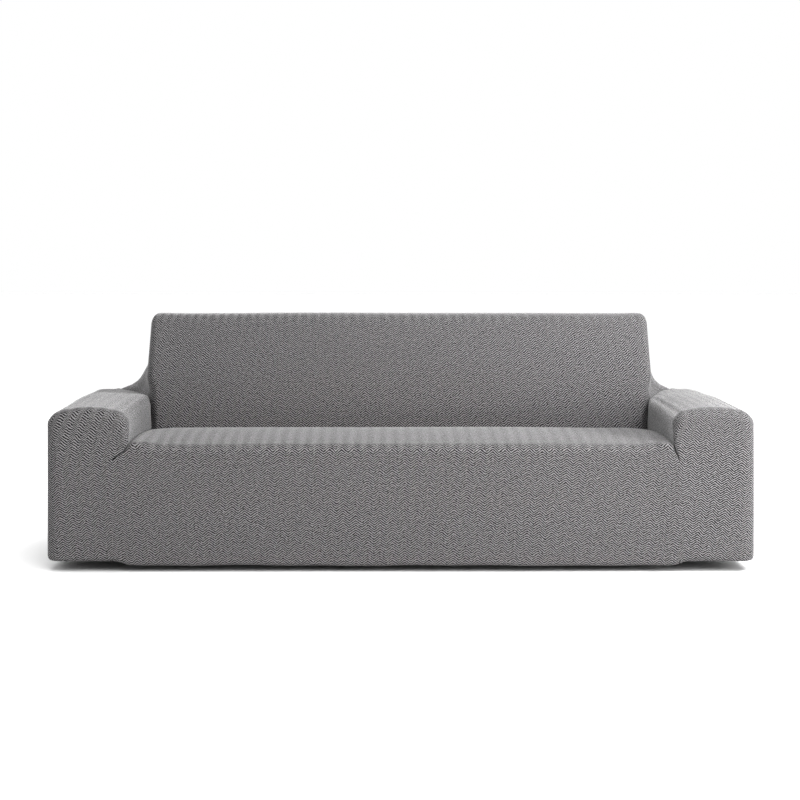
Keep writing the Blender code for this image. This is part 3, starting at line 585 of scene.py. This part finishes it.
# %% Sewing a panel
def sew(name, form, patches, lay, mirrored=False):
    """Join the faces' equal points, bend them with form, and give the mesh its flat map.

    lay takes flat, worn and block points and gives the flat map: it shears and shifts the knit.
    """
    point = np.concatenate([p["point"].reshape(-1, 3) for p in patches])
    flat = np.concatenate([p["flat"].reshape(-1, 2) for p in patches])
    rings, start = [], 0
    for p in patches:
        rows, columns = p["point"].shape[:2]
        grid = np.arange(start, start + rows * columns).reshape(rows, columns)
        ring = np.stack([grid[:-1, :-1], grid[1:, :-1], grid[1:, 1:], grid[:-1, 1:]], axis=-1)
        ring = ring[..., ::-1] if p["turned"] != mirrored else ring
        rings.append(ring[p["kept"]])
        start += rows * columns
    corners = np.concatenate(rings)
    _, first, joined = np.unique(point.round(5), axis=0, return_index=True, return_inverse=True)
    used, faces = np.unique(joined.reshape(-1)[corners], return_inverse=True)
    faces = faces.reshape(-1, 4)
    plain = point[first[used]]
    worn = form(plain)

    mesh = bpy.data.meshes.new(name)
    mesh.from_pydata((worn - ORIGIN).tolist(), [], faces.tolist())
    cloth_map = mesh.uv_layers.new(name="cloth")
    laid = lay(flat[corners], worn[faces], plain[faces])
    cloth_map.data.foreach_set("uv", laid.ravel())
    mesh.shade_smooth()
    edge_of_corner = np.empty(len(mesh.loops), dtype=np.int32)
    mesh.loops.foreach_get("edge_index", edge_of_corner)
    open_edge = np.bincount(edge_of_corner, minlength=len(mesh.edges)) == 1
    sharp = mesh.attributes.new("sharp_edge", "BOOLEAN", "EDGE")
    sharp.data.foreach_set("value", open_edge)

    piece = bpy.data.objects.new(name, mesh)
    bpy.context.scene.collection.objects.link(piece)
    # the skin is the outer side, so the thickness goes inwards
    thickness = piece.modifiers.new("cloth thickness", "SOLIDIFY")
    thickness.thickness = CLOTH
    thickness.offset = -1.0
    print("%s: %d faces in its skin" % (name, len(faces)))
    return piece


# %% [markdown]
# ## How the columns lie when the cover is worn
#
# A stretch cover never sits square.  On the back the columns lean towards its middle on their way
# up, and stand closer together there.  Down the front they draw together a little, and the rows
# sink towards both ends.  On the left arm's front the columns bend to the right at the top, and on
# the right arm's front they close up.  On the gussets the rows run out along the wings.  These are
# small shears of the flat map.

# %% Columns and rows as worn
COLUMN = 0.041              # width of one zigzag, two legs
FIRST_COLUMN = 0.012        # where a zigzag's peak lies, right of the middle
CLOSER_DOWN = 0.087         # how much closer the columns stand for each metre down
BACK_COLUMN = 0.040         # width of a zigzag on the back
BACK_ROW, BACK_CLOSER = 1.05, 0.5       # its rows' stretch upwards, and how they close at the top
BACK_LEAN_POWERS = (-0.10, -0.25, 0.10, -0.20)  # its columns' lean: a cubic of the place across
WING_ROWS = 0.7             # share of a wing's way outwards that its rows are counted along
BEND_START, BEND_HEIGHT, BEND = 0.280, 0.250, 1.18      # where the left arm's columns bend, how much
CLOSE_START, CLOSE_HEIGHT, CLOSE = 0.400, 0.100, 25.0   # and where the right arm's close up
LEVEL_ROWS, ROW_SLOPE = (-0.85, 0.30), 0.09     # places between which rows are level, slope outside


def even_columns(across, height):
    """Place across the cloth: a little closer together lower down, from the first column on."""
    closer = CLOSER_DOWN * (CREVICE - height) * np.clip(across, -HALF_WIDTH, HALF_WIDTH)
    return across - FIRST_COLUMN + closer


def sunk_rows(x):
    """How much the rows sink at a place across: level in the middle, an even slope outside."""
    left = np.minimum(x - LEVEL_ROWS[0], 0.0)
    right = np.maximum(x - LEVEL_ROWS[1], 0.0)
    return ROW_SLOPE * (left - right)


def lay_seat(flat, worn, plain):
    """Columns even across the worn skirt, also where a dart draws it.  Rows come down with the
    seat's top and sink towards both ends."""
    u = mix(flat[..., 0], plain[..., 0], seat_level(plain)) + seat_drawn(plain, worn[..., 2])
    fall = seat_fall(SEAT_HALF - np.abs(plain[..., 0]), 0.0)
    v = flat[..., 1] - fall * smooth(SEAT_TOP - FALL_HEIGHT, SEAT_TOP, plain[..., 2])
    return stacked(even_columns(u, worn[..., 2]), v - sunk_rows(worn[..., 0]))


def lay_arm(side):
    """The arm's own way: left, columns bend by the height squared; right, they close up so."""
    middle = 0.5 * (ARM_INSIDE + HALF_WIDTH)

    def lay(flat, worn, plain):
        u = mix(flat[..., 0], plain[..., 0], arm_level(plain, side))
        u = side * (u + arm_drawn(plain, worn[..., 1], worn[..., 2], side))
        v = flat[..., 1]
        if side < 0:
            u = u - BEND * np.clip(v - BEND_START, 0.0, BEND_HEIGHT) ** 2
        else:
            closer = 1.0 + CLOSE * np.clip(v - CLOSE_START, 0.0, CLOSE_HEIGHT) ** 2
            u = middle + (u - middle) * closer
        return stacked(even_columns(u, worn[..., 2]), v - sunk_rows(worn[..., 0]))

    return lay


def lay_back(flat, worn, plain):
    """Columns lean towards the middle: u less a lean, a cubic of the place across, times height.
    Rows close towards the top: the stretched height plus a part of its cube."""
    across = np.clip(worn[..., 0], -BACK_HALF, BACK_HALF)
    lean = sum(factor * across ** power for power, factor in enumerate(BACK_LEAN_POWERS))
    up = flat[..., 1] - SEAT_TOP
    u = flat[..., 0] - lean * up
    return stacked(u * COLUMN / BACK_COLUMN, up / BACK_ROW + BACK_CLOSER * up ** 3)


def lay_gusset(flat, worn, plain):
    """The back's own way, with the rows counted outwards along the wing as well as upwards."""
    outwards = np.maximum(np.abs(worn[..., 0]) - BACK_HALF, 0.0)
    return lay_back(stacked(flat[..., 0], flat[..., 1] - WING_ROWS * outwards), worn, plain)


def lay_outside(flat, worn, plain):
    """Plain: the columns stand upright."""
    return flat


print("%.0f columns across the seat" % (2 * ARM_INSIDE / COLUMN))

# %% [markdown]
# ## The herringbone knit
#
# The cloth is a thick jacquard knit of a light and a dark yarn.  Slanting lines of the two yarns
# run up and down in turn, which gives the zigzag.  Close to, each line is a row of small stitches
# with loose fibres.  The zigzag is a triangle wave added to the height, and the lines are a sine of
# the result, so the pattern is sharp at any distance and follows the flat map.

# %% A helper for nodes
def node(tree, kind, inputs=(), **settings):
    """Add a node, set its settings, and link or fill its inputs in order."""
    made = tree.nodes.new(kind)
    for key, value in settings.items():
        setattr(made, key, value)
    for socket, value in (inputs.items() if isinstance(inputs, dict) else enumerate(inputs)):
        if isinstance(value, bpy.types.NodeSocket):
            tree.links.new(value, made.inputs[socket])
        elif value is not None:
            made.inputs[socket].default_value = value
    return made


def maths(tree, operation, *values):
    """A Math node's output."""
    return node(tree, "ShaderNodeMath", values, operation=operation).outputs[0]


# %% Sizes of the knit
PITCH = 0.0077              # from one dark line to the next, measured upwards
ZIGZAG_RISE = 0.0148        # how far a line climbs along one leg
STITCH = 0.0026             # size of one stitch
COLUMN_WANDER, LINE_WANDER = 0.010, 0.006       # how far columns and lines wander, slowly
LINE_WOBBLE = 0.005         # how far lines wobble, quickly
DRIFT, WOBBLE, LOOPS = (9.0, 2.0), (70.0, 1.0), (150.0, 1.0)    # scale and detail of the noises
STITCHES, STITCH_TURNS = 1.0 / STITCH, 0.6      # stitches per metre, and how irregular they are
FIBRE_DETAIL = 3.0          # how much finer than a stitch the fibres get
FIBRES, LOOSE_LOOPS = 0.9, 1.4          # how much fibres and loose loops blur a line
CRISP = (0.34, 0.66)        # between these the dark yarn gives way to the light one
# painted sheen: how much lighter or darker the legs are painted on level cloth, and the upward
# normals over which it sets in
PAINTED_SHEEN, PAINTED_SHEEN_SLOPES = 0.085, (0.3, 0.9)       # lighter and darker legs where the cloth lies level
STITCH_DEPTH, RELIEF = 0.6, 0.0006      # depth of stitches beside that of lines, and of both
DARK_YARN = (0.0113, 0.0112, 0.0115, 1.0)
LIGHT_YARN = (0.2300, 0.2245, 0.2280, 1.0)
FINISH = {
    "Roughness": 0.9, "Specular IOR Level": 0.3, "Sheen Weight": 0.56, "Sheen Roughness": 0.25,
}
print("lines per metre: %.0f, columns per metre: %.0f" % (1 / PITCH, 1 / COLUMN))


# %% Zigzag lines
def noise(tree, flat, scale, detail):
    """A noise on the flat map, from 0 to 1."""
    inputs = {"Vector": flat, "Scale": scale, "Detail": detail}
    return node(tree, "ShaderNodeTexNoise", inputs).outputs["Fac"]


def zigzag_lines(tree, flat):
    """Half of 1 + sine of the height plus a triangle wave of the place across, in pitches: 0 on
    dark lines, 1 on light ones.  Noise lets them wander.  Also gives the wandering place."""
    parts = node(tree, "ShaderNodeSeparateXYZ", [flat])
    u, v = parts.outputs["X"], parts.outputs["Y"]
    drift = noise(tree, flat, *DRIFT)
    wander = maths(tree, "MULTIPLY_ADD", drift, COLUMN_WANDER, -0.5 * COLUMN_WANDER)
    u_worn = maths(tree, "ADD", u, wander)
    leg = maths(tree, "PINGPONG", u_worn, 0.5 * COLUMN)
    climb = maths(tree, "MULTIPLY_ADD", leg, ZIGZAG_RISE / (0.5 * COLUMN), v)
    shifted = maths(tree, "MULTIPLY_ADD", drift, LINE_WANDER, climb)
    shifted = maths(tree, "MULTIPLY_ADD", noise(tree, flat, *WOBBLE), LINE_WOBBLE, shifted)
    turn = maths(tree, "MULTIPLY", shifted, 2.0 * math.pi / PITCH)
    return maths(tree, "MULTIPLY_ADD", maths(tree, "SINE", turn), 0.5, 0.5), u_worn


# %% Yarns, painted sheen streaks and relief
def map_range(tree, value, low, high, way="LINEAR"):
    """0 below low, 1 above high, and straight or smooth between."""
    inputs = {"Value": value, "From Min": low, "From Max": high}
    made = node(tree, "ShaderNodeMapRange", inputs, interpolation_type=way)
    return made.outputs["Result"]


def yarn_share(tree, flat, line):
    """Share of the light yarn: the line plus fibres and loose loops, made crisp."""
    fibres, loops = noise(tree, flat, STITCHES, FIBRE_DETAIL), noise(tree, flat, *LOOPS)
    rough = maths(tree, "MULTIPLY_ADD", fibres, FIBRES, -0.5 * FIBRES)
    uneven = maths(tree, "MULTIPLY_ADD", loops, LOOSE_LOOPS, -0.5 * LOOSE_LOOPS)
    yarn = maths(tree, "ADD", maths(tree, "ADD", line, rough), uneven)
    return map_range(tree, yarn, *CRISP, "SMOOTHSTEP")


def painted_sheen_streaks(tree, u_worn):
    """Painted sheen: on level cloth, legs that climb one way are painted lighter, the others darker:
    a sine of the place.
    """
    normal = node(tree, "ShaderNodeNewGeometry").outputs["Normal"]
    upwards = node(tree, "ShaderNodeSeparateXYZ", [normal]).outputs["Z"]
    # the painted sheen is strongest where the cloth faces up
    level = map_range(tree, upwards, *PAINTED_SHEEN_SLOPES)
    leg_side = maths(tree, "SINE", maths(tree, "MULTIPLY", u_worn, -2.0 * math.pi / COLUMN))
    return maths(tree, "MULTIPLY", maths(tree, "MULTIPLY", leg_side, level), PAINTED_SHEEN)


def herringbone_knit():
    """Two yarns in zigzag lines, with stitches, loose fibres and a low relief."""
    material = bpy.data.materials.new("herringbone knit")
    material.use_nodes = True
    tree = material.node_tree
    shader = tree.nodes["Principled BSDF"]
    flat = node(tree, "ShaderNodeUVMap", uv_map="cloth").outputs["UV"]
    line, u_worn = zigzag_lines(tree, flat)
    # the light yarn's share, plus the painted sheen streaks on level cloth
    light = maths(tree, "ADD", yarn_share(tree, flat, line), painted_sheen_streaks(tree, u_worn))
    colour = node(
        tree, "ShaderNodeMix", {0: light, 6: DARK_YARN, 7: LIGHT_YARN}, data_type="RGBA",
        clamp_factor=False,
    ).outputs[2]
    tree.links.new(colour, shader.inputs["Base Color"])

    inputs = {"Vector": flat, "Scale": STITCHES, "Randomness": STITCH_TURNS}
    stitch = node(tree, "ShaderNodeTexVoronoi", inputs).outputs["Distance"]
    height = maths(tree, "ADD", line, maths(tree, "MULTIPLY", stitch, -STITCH_DEPTH))
    relief = node(tree, "ShaderNodeBump", {"Strength": 1.0, "Distance": RELIEF, "Height": height})
    tree.links.new(relief.outputs["Normal"], shader.inputs["Normal"])
    for socket, value in FINISH.items():
        shader.inputs[socket].default_value = value
    return material


KNIT = herringbone_knit()
print("nodes in the knit:", len(KNIT.node_tree.nodes))

# %% [markdown]
# ## The seat and its front skirt
#
# One piece of cloth runs from the crease behind the seat, over the front edge and down to the hem.
# Its sides are tucked into the creases, and below the darts they meet the arms edge to edge.

# %% Seat panel
CREASE_BOTTOM = CREVICE - TUCK
DART_LINES = (0.372, 0.380, 0.384)      # heights of grid lines about the darts' ends
A_LITTLE = 1.0e-6           # so that a grid line counts as above its own height


def body_heights(hem, top, radius, through=()):
    """Lines from a hem up to a top edge: the hem's own, then even ones, then the rounding."""
    above = lines(hem + HEM_HEIGHT, top, 0.0, radius, through)
    return np.concatenate([hem_lines(hem), above[1:]])


def seat_panel():
    """Front, top, rear edge and both tucked sides of the seat's block."""
    depth = SEAT_DEPTH - SEAM
    block = Block(
        (-SEAT_HALF, SEAT_HALF, SEAT_SIDE, SEAT_SIDE), (0.0, depth, SEAT_FRONT, SEAT_REAR),
        (FAR_BELOW, SEAT_TOP, SEAT_FRONT, SEAT_FRONT), "over",
    )
    across = lines(-SEAT_HALF, SEAT_HALF, SEAT_SIDE, SEAT_SIDE)
    depths = lines(0.0, depth, SEAT_FRONT, SEAT_REAR)
    heights = body_heights(HEM_SKIRT, SEAT_TOP, SEAT_FRONT, DART_LINES + (CREASE_BOTTOM,))
    tucked = heights[heights > DART_LINES[0] - A_LITTLE]
    upper = heights[heights > CREASE_BOTTOM - A_LITTLE]

    def is_cloth(y, z):
        return (z > CREASE_BOTTOM) | (y < SEAT_FRONT)

    patches = [
        patch("front", 0.0, across, heights, block),
        patch("top", SEAT_TOP, across, depths, block),
        patch("rear", depth, across, upper, block),
        patch("inner", -SEAT_HALF, depths, tucked, block, is_cloth),
        patch("outer", SEAT_HALF, depths, tucked, block, is_cloth),
    ]
    return sew("seat_and_front_skirt_cloth", seat_form, patches, lay_seat)


SEAT_PIECE = seat_panel()

# %% [markdown]
# ## The arm pieces
#
# An arm piece covers the front, the top and the outer side, and turns down inside to the seat.  The
# real cover has one piece here too, with its grain running over the top and down inside.  The left
# one is the right one mirrored, with its own dart and crease.

# %% Arm panels
BEFORE_END = 0.032          # the inner side's tucked edge stops so far before the crease's end


def arm_panel(name, side):
    """Front, top, outer side, inner side above the seat, and the turned rear edges."""
    block = Block(
        (ARM_INSIDE, HALF_WIDTH, ARM_INNER, ARM_OUTER), (0.0, DEPTH, ARM_FRONT, REAR_EDGE),
        (FAR_BELOW, ARM_TOP, ARM_FRONT, ARM_UPPER), "round",
    )
    last = CREASE_END - BEFORE_END
    across = lines(ARM_INSIDE, HALF_WIDTH, ARM_INNER, ARM_OUTER)
    depths = lines(0.0, DEPTH, ARM_FRONT, REAR_EDGE, (last,))
    heights = body_heights(HEM_ARM, ARM_TOP, ARM_UPPER, DART_LINES + (CREASE_BOTTOM,))
    inside = heights[heights > DART_LINES[0] - A_LITTLE]

    def inner_cloth(y, z):
        edge = (z > CREASE_BOTTOM) | (y < ARM_FRONT)
        return (z > ARM_TOP - ARM_UPPER) | ((y < last) & edge)

    def rear_cloth(x, z):
        return (x > RIM) | (z > ARM_TOP - ARM_UPPER)

    patches = [
        patch("front", 0.0, across, heights, block),
        patch("top", ARM_TOP, across, depths, block),
        patch("outer", HALF_WIDTH, depths, heights, block),
        patch("inner", ARM_INSIDE, depths, inside, block, inner_cloth),
        patch("rear", DEPTH, across, heights, block, rear_cloth),
    ]
    return sew(name, lambda point: arm_form(point, side), patches, lay_arm(side), side < 0)


ARM_PIECES = {-1: arm_panel("arm_left_cloth", -1), +1: arm_panel("arm_right_cloth", +1)}

# %% [markdown]
# ## The back and its gussets
#
# The face and the top of the back are one piece.  A gusset closes each end: upright above, and
# pulled out to the arm's rear corner below.  Both come from one block, so that they meet along
# their seam whatever the form does to it.

# %% The inside back
def back_lines():
    """The lines that the inside back and the gussets share."""
    across = lines(-BACK_HALF, BACK_HALF, BACK_SIDE, BACK_SIDE)
    depths = lines(SEAT_DEPTH, DEPTH, BACK_FRONT, REAR_EDGE)
    heights = lines(GUSSET_FOOT, BACK_TOP, 0.0, BACK_UPPER, (WING_FOOT,))
    return across, depths, heights


BACK_BLOCK = Block(
    (-BACK_HALF, BACK_HALF, BACK_SIDE, BACK_SIDE), (SEAT_DEPTH, DEPTH, BACK_FRONT, REAR_EDGE),
    (FAR_BELOW, BACK_TOP, BACK_UPPER, BACK_UPPER), "over",
)
GUSSET_BLOCK = Block(*BACK_BLOCK.edges, "round_both")


def inside_back_panel():
    """Face and top, with the lower ends turned in beside the arms."""
    across, depths, heights = back_lines()
    heights = np.concatenate([lines(CREASE_BOTTOM, GUSSET_FOOT, 0.0, 0.0)[:-1], heights])

    def end_cloth(y, z):
        return (y < SEAT_DEPTH + BACK_FRONT) & (z < GUSSET_FOOT)

    patches = [
        patch("front", SEAT_DEPTH, across, heights, BACK_BLOCK),
        patch("top", BACK_TOP, across, depths, BACK_BLOCK),
        patch("rear", DEPTH, across, heights, BACK_BLOCK, lambda x, z: z > BACK_TOP - BACK_UPPER),
        patch("inner", -BACK_HALF, depths, heights, GUSSET_BLOCK, end_cloth),
        patch("outer", BACK_HALF, depths, heights, GUSSET_BLOCK, end_cloth),
    ]
    return sew("inside_back_cloth", back_form, patches, lay_back)


BACK_PIECE = inside_back_panel()


# %% The gussets
def gusset_panel(name, side):
    """One end of the back, a seam's width inside the inside back's edges, and its rear strip."""
    across, depths, heights = back_lines()
    rear_seam = BACK_TOP - BACK_UPPER - 2 * SEAM
    heights = heights.copy()
    heights[0] += 2 * SEAM
    heights[-1] -= 2 * SEAM
    heights[np.argmin(np.abs(heights - rear_seam))] = rear_seam
    depths = np.concatenate([[SEAT_DEPTH + 2 * SEAM], depths[1:-1], [DEPTH - 2 * SEAM, DEPTH]])
    strip = across[np.abs(across) >= BACK_HALF - BACK_SIDE - SEAM]
    strip = strip[np.sign(strip) == side]

    def side_cloth(y, z):
        return ~((y > DEPTH - 2 * SEAM) & (z > rear_seam))

    face, at = ("outer", BACK_HALF) if side > 0 else ("inner", -BACK_HALF)
    low = heights[heights <= rear_seam]
    patches = [
        patch(face, at, depths, heights, GUSSET_BLOCK, side_cloth),
        patch("rear", DEPTH, strip, low, GUSSET_BLOCK),
    ]
    return sew(name, back_form, patches, lay_gusset)


GUSSET_PIECES = {
    -1: gusset_panel("gusset_left_cloth", -1), +1: gusset_panel("gusset_right_cloth", +1),
}


# %% [markdown]
# ## The outside back
#
# The rear panel is nearly flat, so its outline is its whole shape.  It could be cut out of a plane
# by hand, but then its seams would gape.  Here its edges are worked out from the neighbours' own
# forms, and two grids fill the outline: one from the hem to the arms' tops, one above them.

# %% The outside back's edges
NOTCH_RISE = 0.022          # how far its edge rises into the corner between gusset and arm
ARM_SEAM = 0.0009           # its seam with the arms


def rear_edges(heights):
    """For each side, the seam with the gusset and the upper edge beside the arm, as (x, z)."""
    across = lines(ARM_INSIDE, HALF_WIDTH, ARM_INNER, ARM_OUTER)
    across = np.append(across[across < RIM - SEAM], RIM - SEAM)
    seams, tops = {}, {}
    for side in (-1, 1):
        seam_x = np.full_like(heights, side * (BACK_HALF - BACK_SIDE))
        seam = back_form(stacked(seam_x, DEPTH, heights))
        seams[side] = stacked(seam[:, 0] - side * SEAM, seam[:, 2] - SEAM)
        foot = back_form(np.array([[side * BACK_HALF, DEPTH, GUSSET_FOOT]]))
        shoulder = arm_form(stacked(across, DEPTH, ARM_TOP - ARM_UPPER), side)
        notch = mix(foot, shoulder[:1], 0.5) + np.array([0.0, 0.0, NOTCH_RISE])
        edge = np.concatenate([foot, notch, shoulder])
        tops[side] = stacked(edge[:, 0], edge[:, 2] - ARM_SEAM)
    return seams, tops


REAR_HEIGHTS = back_lines()[2]
REAR_HEIGHTS = REAR_HEIGHTS[REAR_HEIGHTS <= BACK_TOP - BACK_UPPER + SEAM]
SEAMS, TOPS = rear_edges(REAR_HEIGHTS)
print("the gussets' seams start %.2f m apart" % (SEAMS[1][0, 0] - SEAMS[-1][0, 0]))

# %% The outside back
REAR_COLUMNS, REAR_ROWS = 121, 34       # grid lines between the seams, and above the hem
WAVES_SIDE, WAVES_TOP = 0.200, 0.100    # distances from its edges over which the waves set in


def stand_up(point):
    """Stand the flat panel up at the rear, hem drawn in, with soft waves in its middle."""
    x, z = point[..., 0], point[..., 2]
    inside = np.minimum(RIM - np.abs(x), z - HEM_ARM - HEM_HEIGHT)
    free = smooth(0.0, WAVES_SIDE, inside) * smooth(0.0, WAVES_TOP, SEAMS[1][0, 1] - z)
    y = DEPTH + unevenness(x, DEPTH, z) * free - hem_pull(z - HEM_ARM)
    return stacked(x, y, z)


def outside_back_panel():
    """Flat, from the hem up to the seams with the arms, the gussets and the back's top: straight
    blends between the two sides, and below them between the hem and the upper edge."""
    middle = np.linspace(0.0, 1.0, REAR_COLUMNS)[:, None]
    upper_x, upper_z = (mix(SEAMS[-1][None, :, i], SEAMS[1][None, :, i], middle) for i in (0, 1))
    lower_x = np.concatenate([TOPS[-1][::-1, 0], upper_x[:, 0], TOPS[1][:, 0]])
    lower_top = np.concatenate([TOPS[-1][::-1, 1], upper_z[:, 0], TOPS[1][:, 1]])
    hem = hem_lines(HEM_ARM)
    rows = np.linspace(0.0, 1.0, REAR_ROWS)[1:]
    body_z = hem[-1] + (lower_top[:, None] - hem[-1]) * rows[None, :]
    lower_z = np.concatenate([np.broadcast_to(hem, (len(lower_x), len(hem))), body_z], axis=1)
    lower_x = np.broadcast_to(lower_x[:, None], lower_z.shape)
    patches = [
        {"point": stacked(x, DEPTH, z), "flat": stacked(-x, z), "turned": True,
         "kept": np.ones((x.shape[0] - 1, x.shape[1] - 1), dtype=bool)}
        for x, z in ((lower_x, lower_z), (upper_x, upper_z))
    ]
    return sew("outside_back_cloth", stand_up, patches, lay_outside)


REAR_PIECE = outside_back_panel()

# %% [markdown]
# ## Putting the cover on
#
# Each panel is one sheet of cloth.  The real cover's panels are cut a tenth smaller than they are
# worn, because the knit stretches.
# It rides on the only body, takes the place of its plain shell, and has the cover's one finish.
# The worn sizes are those of the smallest rectangles that the worn panels unroll to.

# %% All seven panels
PANELS = {
    "seat_and_front_skirt": {"piece": SEAT_PIECE, "worn": (1.83, 0.95)},
    "arm_left": {"piece": ARM_PIECES[-1], "worn": (1.21, 1.40)},
    "arm_right": {"piece": ARM_PIECES[+1], "worn": (1.21, 1.40)},
    "inside_back": {"piece": BACK_PIECE, "worn": (1.82, 0.72)},
    "gusset_left": {"piece": GUSSET_PIECES[-1], "worn": (0.36, 0.34)},
    "gusset_right": {"piece": GUSSET_PIECES[+1], "worn": (0.36, 0.34)},
    "outside_back": {"piece": REAR_PIECE, "worn": (2.24, 0.75)},
}
for panel, made in PANELS.items():
    piece = made["piece"]
    piece.data.materials.append(KNIT)
    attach(piece, "root")
    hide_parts(panel)

# %% [markdown]
# ## The light
#
# Pictures of covers like this are taken in a white studio.  One large soft light from the right
# shades the fronts from side to side, a smaller one brightens the right arm, one high in front
# fills, and a wide one behind gives the tops and the seat their pale sheen.  Area lights do this
# better than lamps without a size, whose shadows have hard edges.

# %% Soft lights
def soft_light(name, place, aim, size, power):
    """A rectangular area light at a place, turned to face a point."""
    data = bpy.data.lights.new(name, "AREA")
    data.shape = "RECTANGLE"
    data.size, data.size_y = size
    data.energy = power
    lamp = bpy.data.objects.new(name, data)
    lamp.location = np.array(place) - ORIGIN
    lamp.rotation_euler = Vector(np.array(aim) - place).to_track_quat("-Z", "Y").to_euler()
    bpy.context.scene.collection.objects.link(lamp)
    print("%s: %.0f W" % (name, power))


soft_light("right side", (4.6, -2.6, 1.2), aim=(0.4, 0.2, 0.4), size=(2.0, 2.0), power=186.0)
soft_light("over the right arm", (2.2, -0.6, 2.3), aim=(0.6, 0.5, 0.5), size=(1.2, 1.2), power=71.0)
soft_light("high in front", (0.5, -3.5, 3.6), aim=(0.0, 0.2, 0.4), size=(2.4, 2.4), power=98.0)
soft_light("behind", (0.0, 4.2, 3.3), aim=(0.0, 0.4, 0.5), size=(4.5, 1.0), power=157.0)

# %% [markdown]
# ## The white surround and the floor
#
# Walls and ceiling could be built as planes.  A plain white world is simpler and lights the cover
# evenly from all sides.  It is a little brighter overhead, as a studio's ceiling is.  The floor is
# one large white plane, which catches the soft shadow under the hem.

# %% White walls and a bright ceiling
CEILING = {"From Min": 0.16, "From Max": 0.30, "To Min": 1.0, "To Max": 1.22}
GAMMA = 0.78                # softer in contrast, as the photograph is
world = bpy.data.worlds.new("white surround")
world.use_nodes = True
sky = world.node_tree
direction = node(sky, "ShaderNodeTexCoord").outputs["Generated"]
upwards = node(sky, "ShaderNodeSeparateXYZ", [direction]).outputs["Z"]
brightness = node(sky, "ShaderNodeMapRange", {"Value": upwards, **CEILING}).outputs["Result"]
surround = sky.nodes["Background"]
surround.inputs["Color"].default_value = (1.0, 1.0, 1.0, 1.0)
sky.links.new(brightness, surround.inputs["Strength"])
bpy.context.scene.world = world
bpy.context.scene.view_settings.view_transform = "Standard"
bpy.context.scene.view_settings.gamma = GAMMA
print("the ceiling is %.0f per cent brighter than the walls" % (100 * (CEILING["To Max"] - 1.0)))

# %% Floor
FLOOR_HALF = 30.0           # half the floor's width
FLOOR_WHITE = (0.82, 0.82, 0.82, 1.0)
floor_mesh = bpy.data.meshes.new("floor")
corners = FLOOR_HALF * np.array([[-1, -1, 0], [1, -1, 0], [1, 1, 0], [-1, 1, 0]])
floor_mesh.from_pydata((corners - ORIGIN).tolist(), [], [[0, 1, 2, 3]])
floor = bpy.data.objects.new("floor", floor_mesh)
bpy.context.scene.collection.objects.link(floor)
white = bpy.data.materials.new("white floor")
white.use_nodes = True
paint = white.node_tree.nodes["Principled BSDF"]
paint.inputs["Base Color"].default_value = FLOOR_WHITE
paint.inputs["Roughness"].default_value = 0.9
floor_mesh.materials.append(white)
print("the floor is %.0f m wide" % (2 * FLOOR_HALF))

# %% [markdown]
# ## The camera
#
# It stands level, straight in front and a little above the back.  Tilting it down would make the
# upright edges lean, so the picture is shifted down instead, as with a view camera.

# %% Camera
PICTURE = 800               # pixels on each side of the photograph
PIXELS_PER_SLOPE = 1590     # pixels for a slope of one, seen from the camera
HORIZON = 245               # row of the horizon, counted from the top
SIDEWAYS = 0.0198           # share of the picture's width by which it is shifted sideways
SENSOR = 36.0
EYE = (-0.055, -5.2, 1.07)  # where the camera stands
lens = bpy.data.cameras.new("camera")
lens.sensor_width = SENSOR
lens.lens = SENSOR * PIXELS_PER_SLOPE / PICTURE
lens.shift_x = SIDEWAYS
lens.shift_y = (HORIZON - PICTURE / 2) / PICTURE
camera = bpy.data.objects.new("camera", lens)
camera.location = np.array(EYE) - ORIGIN
camera.rotation_euler = (math.pi / 2, 0.0, 0.0)
bpy.context.scene.collection.objects.link(camera)
bpy.context.scene.camera = camera
print("lens %.1f mm, shift %.3f up" % (lens.lens, lens.shift_y))
